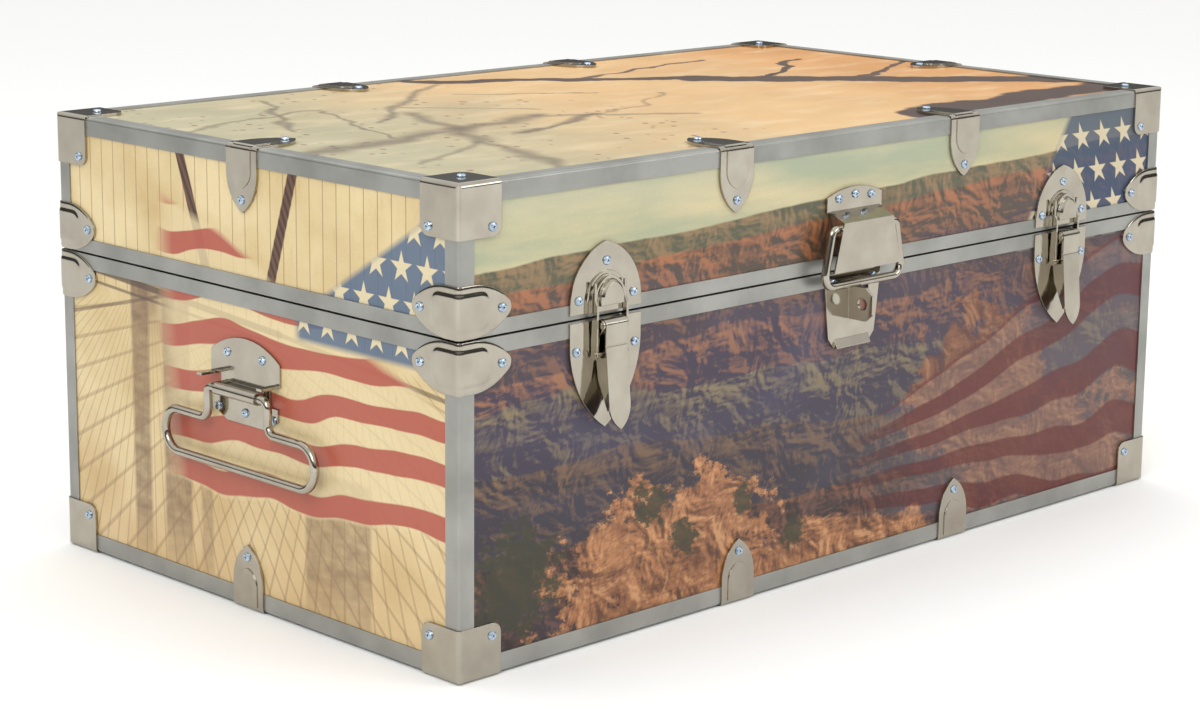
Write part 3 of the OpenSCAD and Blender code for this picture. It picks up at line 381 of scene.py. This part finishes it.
def bridge_art(tree, u, z):
    """Aged paper with cables and stone piers, under a striped banner and its blue field."""
    blots = add(tree, "TexNoise", {
        "Vector": pair(tree, u, z, 90, 80, 2.0), "Scale": 1.0, "Detail": 6.0})
    art = add(tree, "Mix", {
        0: add(tree, "MapRange", {0: blots, 1: 0.38, 2: 0.66}),
        6: colour("e3cfa0"), 7: colour("cbb07a")}, data_type="RGBA")
    art = cover(tree, art, add(tree, "MapRange", {0: z, 1: 140, 2: 0}), colour("c9a06c"), 0.45)
    chips = add(tree, "TexNoise", {
        "Vector": pair(tree, u, z, 16, 9, 4.0), "Scale": 1.0, "Detail": 6.0})
    # A stone gate of two legs and a beam, and two lower piers, stand behind, rough and faded.
    for left, right, low, high, alpha in (
            (-146, -122, 20, 236, 0.85), (-106, -70, 20, 236, 0.8), (-146, -70, 190, 236, 0.75),
            (66, 142, 10, 120, 0.7), (-60, -44, 10, 150, 0.55)):
        sides = add(tree, "Math", {
            0: add(tree, "MapRange", {0: u, 1: left - 1, 2: left + 3}),
            1: add(tree, "MapRange", {0: u, 1: right + 1, 2: right - 3})}, operation="MULTIPLY")
        ends = add(tree, "Math", {
            0: add(tree, "MapRange", {0: z, 1: low - 20, 2: low + 30}),
            1: add(tree, "MapRange", {0: z, 1: high + 2, 2: high - 2})}, operation="MULTIPLY")
        block = add(tree, "Math", {0: sides, 1: ends}, operation="MULTIPLY")
        grain = add(tree, "MapRange", {0: chips, 1: 0.3, 2: 0.7, 3: 0.55, 4: 1.0})
        art = cover(tree, art, add(tree, "Math", {0: block, 1: grain}, operation="MULTIPLY"),
                    colour("74563d"), alpha)

    # Thin hangers, a fan of lines below the deck, the deck and two thick twisted cables.
    flat = pair(tree, u, z, 1, 1)
    comb = add(tree, "Math", {0: add(tree, "Math", {0: u, 1: 1 / 15.0}, operation="MULTIPLY")},
               operation="FRACT")
    hanger = add(tree, "MapRange", {0: comb, 1: 0.05, 2: 0.08, 3: 1.0, 4: 0.0})
    above = add(tree, "MapRange", {0: z, 1: 216, 2: 222})
    art = cover(tree, art, add(tree, "Math", {0: hanger, 1: above}, operation="MULTIPLY"),
                colour("7b5535"), 0.6)
    for pole, turns in (((-118, 262), 60), ((112, 262), 46)):
        away = add(tree, "VectorMath", {0: flat, 1: (*pole, 0)}, operation="SUBTRACT")
        axes = add(tree, "SeparateXYZ", {0: away})
        angle = add(tree, "Math", {0: axes.outputs[0], 1: axes.outputs[1]}, operation="ARCTAN2")
        spoke = add(tree, "Math", {0: add(tree, "Math", {0: angle, 1: turns / math.pi},
                                          operation="MULTIPLY")}, operation="FRACT")
        thin = add(tree, "MapRange", {0: spoke, 1: 0.1, 2: 0.16, 3: 1.0, 4: 0.0})
        under = add(tree, "MapRange", {0: z, 1: 212, 2: 204})
        art = cover(tree, art, add(tree, "Math", {0: thin, 1: under}, operation="MULTIPLY"),
                    colour("8b6a48"), 0.4)
    for a, b, half_width, soft, paint, alpha in (
            ((-230, 232), (40, 214), 2.6, 1.5, "4f3a29", 0.85),
            ((-230, 222), (40, 206), 1.2, 1.0, "4f3a29", 0.7),
            ((-230, 190), (-60, 232), 1.4, 1.0, "5c452f", 0.6),
            ((40, 214), (230, 196), 1.8, 1.5, "5c452f", 0.7),
            ((-84, 350), (-44, 240), 5.0, 1.5, "5a2f1c", 0.95),
            ((62, 350), (26, 240), 5.0, 1.5, "5a2f1c", 0.95)):
        mask = stroke(tree, flat, a, b, half_width, soft)
        art = cover(tree, art, mask, colour(paint), alpha)
        if half_width > 4:
            lay = add(tree, "Math", {0: z, 1: 0.55, 2: u}, operation="MULTIPLY_ADD")
            twist = add(tree, "Math", {0: lay, 1: 0.9}, operation="MULTIPLY")
            strand = add(tree, "MapRange", {
                0: add(tree, "Math", {0: twist}, operation="SINE"), 1: -0.2, 2: 0.5})
            art = cover(tree, art, add(tree, "Math", {0: mask, 1: strand}, operation="MULTIPLY"),
                        colour("24140d"), 0.8)

    # The banner blows from the right: wavy stripes, then the blue field with its stars.
    wave = add(tree, "TexNoise", {
        "Vector": pair(tree, u, z, 120, 90, 9.0), "Scale": 1.0, "Detail": 1.5})
    slope = add(tree, "Math", {0: u, 1: -0.05, 2: z}, operation="MULTIPLY_ADD")
    lift = add(tree, "Math", {0: wave, 1: 44.0, 2: slope}, operation="MULTIPLY_ADD")
    count = add(tree, "Math", {0: lift, 1: 1 / 36.0, 2: 0.28}, operation="MULTIPLY_ADD")
    gap = add(tree, "Math", {0: add(tree, "Math", {
        0: add(tree, "Math", {0: count}, operation="FRACT"), 1: 0.5}, operation="SUBTRACT")},
        operation="ABSOLUTE")
    red = add(tree, "MapRange", {0: gap, 1: 0.23, 2: 0.26, 3: 1.0, 4: 0.0})
    begun = add(tree, "Math", {0: wave, 1: 90.0, 2: u}, operation="MULTIPLY_ADD")
    reach = add(tree, "MapRange", {0: begun, 1: -62, 2: -34})
    rise = add(tree, "Math", {0: u, 1: -0.4, 2: 0.0}, operation="MULTIPLY_ADD")
    head = add(tree, "Math", {0: lift, 1: rise}, operation="SUBTRACT")
    tall = add(tree, "Math", {
        0: add(tree, "MapRange", {0: lift, 1: 104, 2: 108}),
        1: add(tree, "MapRange", {0: head, 1: 292, 2: 286})}, operation="MULTIPLY")
    banner = add(tree, "Math", {0: reach, 1: tall}, operation="MULTIPLY")
    art = cover(tree, art, banner, colour("e0cda0"), 0.72)
    art = cover(tree, art, add(tree, "Math", {0: red, 1: banner}, operation="MULTIPLY"),
                colour("a9352a"), 0.88)
    field = add(tree, "Math", {
        0: add(tree, "MapRange", {0: u, 1: 56, 2: 64}),
        1: add(tree, "MapRange", {0: z, 1: 212, 2: 217})}, operation="MULTIPLY")
    under = add(tree, "Math", {0: u, 1: 0.62, 2: 195.0}, operation="MULTIPLY_ADD")
    field = add(tree, "Math", {0: field, 1: add(tree, "MapRange", {
        0: add(tree, "Math", {0: under, 1: z}, operation="SUBTRACT"), 1: -2, 2: 4})},
        operation="MULTIPLY")
    art = cover(tree, art, field, colour("3f5f80"), 0.9)
    spark = stars(tree, u, z, 27, 0.44)
    art = cover(tree, art, add(tree, "Math", {0: field, 1: spark}, operation="MULTIPLY"),
                colour("dfd0a8"), 0.95)
    scratch = add(tree, "TexNoise", {
        "Vector": pair(tree, u, z, 3, 26, 6.0), "Scale": 1.0, "Detail": 4.0})
    scored = add(tree, "MapRange", {0: scratch, 1: 0.62, 2: 0.8})
    return cover(tree, art, scored, colour("8d6b43"), 0.3)


def branches_art(tree, x, y):
    """A warm evening sky with a dark branch and blurred twigs across it."""
    clouds = add(tree, "TexNoise", {
        "Vector": pair(tree, x, y, 160, 110, 1.0), "Scale": 1.0, "Detail": 4.0})
    across = add(tree, "Math", {0: clouds, 1: 240.0, 2: x}, operation="MULTIPLY_ADD")
    cool = add(tree, "MapRange", {0: across, 1: -220, 2: 170}, interpolation_type="SMOOTHSTEP")
    art = add(tree, "Mix", {0: cool, 6: colour("bdb592"), 7: colour("e6bc82")}, data_type="RGBA")
    art = cover(tree, art, add(tree, "MapRange", {0: across, 1: 190, 2: 520},
                               interpolation_type="SMOOTHSTEP"), colour("db9850"), 0.9)
    wisps = add(tree, "TexNoise", {
        "Vector": pair(tree, x, y, 60, 24, 8.0), "Scale": 1.0, "Detail": 6.0})
    streaks = add(tree, "MapRange", {0: wisps, 1: 0.5, 2: 0.75})
    art = cover(tree, art, streaks, colour("f3dcb0"), 0.5)
    bend = add(tree, "TexNoise", {
        "Vector": pair(tree, x, y, 55, 55, 3.0), "Scale": 1.0, "Detail": 4.0})
    sway = add(tree, "VectorMath", {0: bend.outputs["Color"], 1: (0.5, 0.5, 0.5)},
               operation="SUBTRACT")
    flat = add(tree, "VectorMath", {0: sway, "Scale": 46.0}, operation="SCALE")
    point = add(tree, "VectorMath", {0: flat, 1: pair(tree, x, y, 1, 1)}, operation="ADD")
    point = add(tree, "VectorMath", {0: point, 1: (1.0, 1.0, 0.0)}, operation="MULTIPLY")
    twigs = [
        ((-400, -60), (-120, -10), 9, 20, "6f5f4e", 0.75),
        ((-300, -230), (-190, 60), 7, 16, "6f5f4e", 0.7),
        ((-240, 40), (-60, 190), 4, 9, "6f5f4e", 0.7),
        ((-200, -70), (-70, -40), 5, 9, "5d4c3d", 0.75),
        ((-330, 40), (-230, 200), 3, 6, "6a5a49", 0.65),
        ((-400, 90), (-240, 130), 3, 6, "6a5a49", 0.6),
        ((-130, -10), (-20, -90), 4, 8, "6f5f4e", 0.6),
        ((-60, -40), (60, 30), 2, 4, "6a5a49", 0.5),
        ((-90, 130), (10, 60), 2, 3, "5d4c3d", 0.7),
        ((-170, 90), (-100, 10), 2, 4, "5d4c3d", 0.65),
        ((-360, -140), (-250, -90), 3, 8, "6f5f4e", 0.6),
        ((-290, -30), (-240, 120), 2, 4, "5d4c3d", 0.6),
        ((-60, 215), (160, 70), 11, 4, "4a2f20", 1.0),
        ((150, 74), (410, -150), 19, 5, "4a2f20", 1.0),
        ((120, -205), (410, -185), 24, 8, "45291b", 1.0),
        ((200, 30), (330, 120), 4, 2, "4a2f20", 1.0),
        ((60, 130), (250, 170), 3, 2, "4f3424", 0.9),
        ((250, -20), (400, 40), 4, 2, "4f3424", 0.95),
    ]
    for a, b, half_width, soft, paint, alpha in twigs:
        art = cover(tree, art, stroke(tree, point, a, b, half_width, soft), colour(paint), alpha)
    buds = add(tree, "TexVoronoi", {"Vector": pair(tree, x, y, 13, 13, 5.0), "Scale": 1.0})
    spot = add(tree, "MapRange", {0: buds.outputs["Distance"], 1: 0.16, 2: 0.24, 3: 1.0, 4: 0.0})
    where = add(tree, "Math", {
        0: add(tree, "MapRange", {0: x, 1: -20, 2: -60}),
        1: add(tree, "MapRange", {0: bend, 1: 0.48, 2: 0.54})}, operation="MULTIPLY")
    art = cover(tree, art, add(tree, "Math", {0: spot, 1: where}, operation="MULTIPLY"),
                colour("7c4a3c"), 0.75)
    bark = add(tree, "TexNoise", {
        "Vector": pair(tree, x, y, 12, 5, 2.0), "Scale": 1.0, "Detail": 6.0})
    return cover(tree, art, add(tree, "MapRange", {0: bark, 1: 0.6, 2: 0.8}),
                 colour("5b3c28"), 0.12)


def board_material(name, art, side, along):
    """Bare birch, with the print where the surface lies on the board's outer face. Side is the
    axis that the face looks along."""
    material, tree, shader = new_material(name, roughness=0.42, ior=1.5)
    vector, x, y, z = mm_position(tree)
    axis = {"X": x, "Y": y, "Z": z}[side]
    away = axis if side == "Z" else add(tree, "Math", {0: axis}, operation="ABSOLUTE")
    printed_from = OUTER_FACE[side] - PRINT_DEPTH
    outside = add(tree, "MapRange", {0: away, 1: printed_from - 0.05, 2: printed_from})
    hand = add(tree, "Math", {0: axis}, operation="SIGN")
    if side == "Z":
        print_colour = art(tree, x, y)
    else:
        run = add(tree, "Math", {0: x if side == "Y" else y, 1: hand}, operation="MULTIPLY")
        turn = -1.0 if side == "Y" else 1.0
        print_colour = art(tree, add(tree, "Math", {0: run, 1: turn}, operation="MULTIPLY"), z)
    fibres = add(tree, "TexNoise", {"Vector": vector, "Scale": 1.4, "Detail": 3.0})
    grain = add(tree, "MapRange", {0: fibres, 1: 0.3, 2: 0.7, 3: 0.93, 4: 1.05})
    printed = add(tree, "Mix", {0: 1.0, 6: print_colour, 7: grain}, data_type="RGBA",
                  blend_type="MULTIPLY")
    wood, pores = wood_colour(tree, vector, along)
    tree.links.new(add(tree, "Mix", {0: outside, 6: wood, 7: printed}, data_type="RGBA").outputs[2],
                   shader.inputs["Base Color"])
    smudge = add(tree, "TexNoise", {"Vector": vector, "Scale": 0.012, "Detail": 4.0})
    satin = add(tree, "MapRange", {0: smudge, 1: 0.35, 2: 0.65, 3: 0.3, 4: 0.4})
    tree.links.new(add(tree, "Mix", {0: outside, 2: 0.62, 3: satin}).outputs[0],
                   shader.inputs["Roughness"])
    relief = add(tree, "Mix", {0: outside, 2: pores, 3: fibres})
    bump = add(tree, "Bump", {"Height": relief, "Strength": 0.06, "Distance": 0.0002})
    tree.links.new(bump.outputs[0], shader.inputs["Normal"])
    return material


finish_nodes(board_material("printed_long_board", canyon_art, "Y", "X"),
             "base_front", "base_back", "lid_front", "lid_back")
finish_nodes(board_material("printed_end_board", bridge_art, "X", "Y"),
             "base_left", "base_right", "lid_left", "lid_right")
finish_nodes(board_material("printed_top_board", branches_art, "Z", "X"), "lid_top")

# ---- Bare birch ----
# The floor, the tray and the ledges that carry it are sanded birch plywood, glued and
# pinned, without a finish: pale, matt and streaked along the grain.

for grain_axis, names in {
        "X": ("base_floor", "tray_ledges", "tray_bottom", "tray_front", "tray_back"),
        "Y": ("tray_left", "tray_right", "tray_divider")}.items():
    birch, tree, shader = new_material("birch_plywood_" + grain_axis.lower(), ior=1.45)
    wood, pores = wood_colour(tree, mm_position(tree)[0], grain_axis)
    tree.links.new(wood.outputs[2], shader.inputs["Base Color"])
    tree.links.new(add(tree, "MapRange", {0: pores, 1: 0.3, 2: 0.7, 3: 0.52, 4: 0.7}).outputs[0],
                   shader.inputs["Roughness"])
    bump = add(tree, "Bump", {"Height": pores, "Strength": 0.15, "Distance": 0.0002})
    tree.links.new(bump.outputs[0], shader.inputs["Normal"])
    finish_nodes(birch, *names)

# ---- Aluminium edging and rims ----
# Extruded aluminium angle and a tongue and groove closure, mitred where runs meet and held
# by the screws of the caps and clamps. Satin anodising gives a dull grey sheen with a fine
# grain and no clear image.

aluminium, tree, shader = new_material("satin_aluminium", metallic=1.0)
vector = mm_position(tree)[0]
cloud = add(tree, "TexNoise", {"Vector": vector, "Scale": 0.02, "Detail": 5.0})
fine = add(tree, "TexNoise", {"Vector": vector, "Scale": 2.2, "Detail": 3.0})
shade = add(tree, "MapRange", {0: cloud, 1: 0.35, 2: 0.65})
tree.links.new(add(tree, "Mix", {0: shade, 6: colour("adada8"), 7: colour("999994")},
                   data_type="RGBA").outputs[2], shader.inputs["Base Color"])
tree.links.new(add(tree, "MapRange", {0: fine, 1: 0.3, 2: 0.7, 3: 0.36, 4: 0.5}).outputs[0],
               shader.inputs["Roughness"])
tree.links.new(add(tree, "Bump", {"Height": fine, "Strength": 0.08, "Distance": 0.0002}).outputs[0],
               shader.inputs["Normal"])
finish_nodes(aluminium, "base_bottom_edging", "base_corner_edging", "base_rim",
             "lid_top_edging", "lid_corner_edging", "lid_rim")

# ---- Nickel plated hardware ----
# Caps, clamps, latches, hasp, handles and hinges are pressed steel under bright nickel:
# warm grey, nearly a mirror, with a faint orange peel, and bright lines where edges roll.

nickel, tree, shader = new_material("nickel_plated_steel", metallic=1.0)
vector = mm_position(tree)[0]
patch = add(tree, "TexNoise", {"Vector": vector, "Scale": 0.05, "Detail": 4.0})
peel = add(tree, "TexNoise", {"Vector": vector, "Scale": 0.35, "Detail": 2.0})
wear = add(tree, "MapRange", {0: patch, 1: 0.35, 2: 0.65})
tree.links.new(add(tree, "Mix", {0: wear, 6: colour("b0aa9d"), 7: colour("a69f92")},
                   data_type="RGBA").outputs[2], shader.inputs["Base Color"])
tree.links.new(add(tree, "MapRange", {0: patch, 1: 0.3, 2: 0.7, 3: 0.07, 4: 0.13}).outputs[0],
               shader.inputs["Roughness"])
rolled = add(tree, "Bevel", {"Radius": 0.0005}, samples=4)
tree.links.new(add(tree, "Bump", {
    "Height": peel, "Strength": 0.05, "Distance": 0.0004, "Normal": rolled}).outputs[0],
    shader.inputs["Normal"])
finish_nodes(nickel, *(
    "base_corner_caps base_rim_clamps base_edge_clamps left_latch_base right_latch_base "
    "latch_pivot_pins lock_plate left_handle_plate right_handle_plate hinge_base_leaves "
    "hinge_pins lid_corner_caps lid_rim_clamps lid_edge_clamps left_keeper right_keeper "
    "hasp_plate hinge_lid_leaves left_latch_lever left_latch_link_pin left_latch_link "
    "right_latch_lever right_latch_link_pin right_latch_link lock_loop left_handle_bail "
    "right_handle_bail").split())

# ---- Rim clamps ----
# Pressed steel clamps that wrap the trunk's upright corners above and below the closure:
# two lobes that close on a round tip, with a raised panel round the corner between them.

LOBE_LEN, LOBE_H, LOBE_STRAIGHT, LOBE_TIP = 47.0, 37.0, 12.0, 8.0
LINE_R, SHEET, BURIED, EDGE_ROLL = 2.4, 1.3, 1.2, 0.45
PANEL_LEN, PANEL_HALF, PANEL_CORNER, PANEL_RISE = 27.0, 12.5, 8.0, 0.7


def lobe_half(along):
    """Half a lobe's height at a distance from the corner line."""
    past = abs(along) - LOBE_STRAIGHT
    rise = LOBE_LEN - LOBE_STRAIGHT - LOBE_TIP
    big = (rise ** 2 + LOBE_H ** 2 / 4 - LOBE_TIP ** 2) / (LOBE_H - 2 * LOBE_TIP)
    if past <= 0:
        return LOBE_H / 2
    if past < rise * big / (big - LOBE_TIP):
        return LOBE_H / 2 - big + math.sqrt(big ** 2 - past ** 2)
    return math.sqrt(max(LOBE_TIP ** 2 - (past - rise) ** 2, 0.01))


def panel_rise(along, up):
    """How far the raised panel stands out at a point of the clamp."""
    qx = abs(along) - (PANEL_LEN - PANEL_CORNER)
    qy = abs(up) - (PANEL_HALF - PANEL_CORNER)
    gap = math.hypot(max(qx, 0), max(qy, 0)) + min(max(qx, qy), 0) - PANEL_CORNER
    return PANEL_RISE * min(max((0.6 - gap) / 1.8, 0), 1)


rim_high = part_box("base_rim")[1]
for body in ("base", "lid"):
    node = body + "_rim_clamps"
    low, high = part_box(node)
    shape = bmesh.new()
    for sx in (-1, 1):
        for sy in (-1, 1):
            made = bmesh.ops.create_grid(shape, x_segments=90, y_segments=26, size=1)
            faces = list({f for v in made["verts"] for f in v.link_faces})
            inner = set(made["verts"])
            raised = bmesh.ops.extrude_face_region(shape, geom=faces, use_keep_orig=True)
            outer = {v for v in raised["geom"] if isinstance(v, bmesh.types.BMVert)}
            for v in inner | outer:
                x, y = v.co.x, v.co.y
                along = (LOBE_LEN - 0.04) * math.sin(x * math.pi / 2)
                up = y * lobe_half(along)
                out = -BURIED
                if v in outer:
                    rounding = EDGE_ROLL if max(abs(x), abs(y)) > 0.99 else 0.0
                    out = SHEET + panel_rise(along, up) - rounding
                turn = math.pi / 4 * (1 + max(-1, min(1, along / LINE_R)))
                slide = max(0, abs(along) - LINE_R)
                plan_x = rim_high[0] * 1000 - LINE_R + (LINE_R + out) * math.cos(turn)
                plan_y = rim_high[1] * 1000 - LINE_R + (LINE_R + out) * math.sin(turn)
                if along > 0:
                    plan_x -= slide
                else:
                    plan_y -= slide
                v.co = (sx * plan_x / 1000, sy * plan_y / 1000, (low[2] + high[2]) / 2 + up / 1000)
    bmesh.ops.recalc_face_normals(shape, faces=shape.faces)
    for face in shape.faces:
        face.smooth = True
    for edge in shape.edges:
        edge.smooth = edge.calc_face_angle(0) < math.radians(35)
    mesh = bpy.data.meshes.new(node + "_pressed")
    shape.to_mesh(mesh)
    shape.free()
    mesh.materials.append(nickel)
    piece = bpy.data.objects.new(node + "_pressed", mesh)
    bpy.context.scene.collection.objects.link(piece)
    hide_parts(node)
    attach(piece, body)

# ---- Screws ----
# Pan heads with a pressed cross recess, in bright blue zinc plate. The rivets underneath
# the base are flush. Each head sits where its CAD screw does.

HEAD_R, HEAD_H, HEAD_SIDES = 3.5, 1.9, 16
HEAD_RINGS = ((1.0, 0.0), (1.0, 0.3), (0.93, 0.62), (0.78, 0.86), (0.6, 0.98))
RECESS_DEPTHS = (0.94, 0.4, 0.3)
ARM, SHOULDER, NOTCH = 0.5, 0.2, 0.16

# Where heads sit, in metres, and the flattened shape and the turn of one after another.
TRUNK_MIDDLE = Vector((0, 0, 0.17))
CAD_HEAD_H, FLUSH_SINK, FLUSH_BELOW = 0.0017, 0.0003, 0.004
FLUSH_SHAPE = (0.55, 0.55, 0.16, 1)
TURN_STEP = 0.7

zinc, tree, shader = new_material("zinc_plated_screws", metallic=1.0)
vector = mm_position(tree)[0]
bloom = add(tree, "TexNoise", {"Vector": vector, "Scale": 0.3, "Detail": 3.0})
tone = add(tree, "MapRange", {0: bloom, 1: 0.35, 2: 0.65})
tree.links.new(add(tree, "Mix", {0: tone, 6: colour("c3d3e4"), 7: colour("9fb2c6")},
                   data_type="RGBA").outputs[2], shader.inputs["Base Color"])
tree.links.new(add(tree, "MapRange", {0: bloom, 1: 0.3, 2: 0.7, 3: 0.2, 4: 0.32}).outputs[0],
               shader.inputs["Roughness"])

head_mesh = bpy.data.meshes.new("pan_head")
shape = bmesh.new()
bmesh.ops.create_circle(shape, segments=HEAD_SIDES, radius=HEAD_R)
ring = sorted(shape.verts, key=lambda v: math.atan2(v.co.y, v.co.x) % math.tau)
rows = [[(r * HEAD_R, h * HEAD_H)] * HEAD_SIDES for r, h in HEAD_RINGS]
star = [(ARM, SHOULDER, NOTCH, SHOULDER)[k % 4] for k in range(HEAD_SIDES)]
rows += [[(r * HEAD_R * (1 - 0.1 * i), depth * HEAD_H) for r in star]
         for i, depth in enumerate(RECESS_DEPTHS)]
for i, row in enumerate(rows):
    if i:
        edges = [e for e in shape.edges if all(v in ring for v in e.verts)]
        made = bmesh.ops.extrude_edge_only(shape, edges=edges)
        ring = sorted((v for v in made["geom"] if isinstance(v, bmesh.types.BMVert)),
                      key=lambda v: math.atan2(v.co.y, v.co.x) % math.tau)
    for k, (v, (r, h)) in enumerate(zip(ring, row)):
        angle = k * math.tau / HEAD_SIDES
        v.co = (r * math.cos(angle), r * math.sin(angle), h)
bmesh.ops.holes_fill(shape, edges=[e for e in shape.edges if e.is_boundary],
                     sides=HEAD_SIDES)
bmesh.ops.recalc_face_normals(shape, faces=shape.faces)
bmesh.ops.scale(shape, vec=(0.001, 0.001, 0.001), verts=shape.verts)
shape.to_mesh(head_mesh)
shape.free()

for body, node in (("base", "base_screws"), ("lid", "lid_screws")):
    source = bmesh.new()
    source.from_mesh(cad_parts[node].data)
    bmesh.ops.remove_doubles(source, verts=source.verts, dist=1e-6)
    heads = bmesh.new()
    left = set(source.verts)
    sites = []
    while left:
        island, queue = set(), [next(iter(left))]
        while queue:
            v = queue.pop()
            if v in island:
                continue
            island.add(v)
            queue += [e.other_vert(v) for e in v.link_edges]
        left -= island
        low = Vector([min(v.co[i] for v in island) for i in range(3)])
        high = Vector([max(v.co[i] for v in island) for i in range(3)])
        sites.append((tuple(round(c, 6) for c in low), tuple(round(c, 6) for c in high)))
    for index, (low, high) in enumerate(sorted(sites)):
        low, high = Vector(low), Vector(high)
        middle, size = (low + high) / 2, high - low
        axis = max(range(3), key=lambda i: size[i])
        outward = Vector([0, 0, 0])
        outward[axis] = 1 if middle[axis] > TRUNK_MIDDLE[axis] else -1
        seat = middle + outward * size[axis] / 2
        flush = min(size) < FLUSH_BELOW
        seat -= outward * (FLUSH_SINK if flush else CAD_HEAD_H)
        turned = Vector((0, 0, 1)).rotation_difference(outward).to_matrix().to_4x4()
        spin = Matrix.Rotation(index * TURN_STEP, 4, "Z")
        flat = Matrix.Diagonal(FLUSH_SHAPE) if flush else Matrix.Identity(4)
        copy = bmesh.new()
        copy.from_mesh(head_mesh)
        bmesh.ops.transform(copy, matrix=Matrix.Translation(seat) @ turned @ spin @ flat,
                            verts=copy.verts)
        part = bpy.data.meshes.new("part")
        copy.to_mesh(part)
        heads.from_mesh(part)
        bpy.data.meshes.remove(part)
        copy.free()
    mesh = bpy.data.meshes.new(body + "_screw_heads")
    heads.to_mesh(mesh)
    heads.free()
    source.free()
    mesh.materials.append(zinc)
    piece = bpy.data.objects.new(body + "_screw_heads", mesh)
    bpy.context.scene.collection.objects.link(piece)
    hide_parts(node)
    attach(piece, body)
bpy.data.meshes.remove(head_mesh)
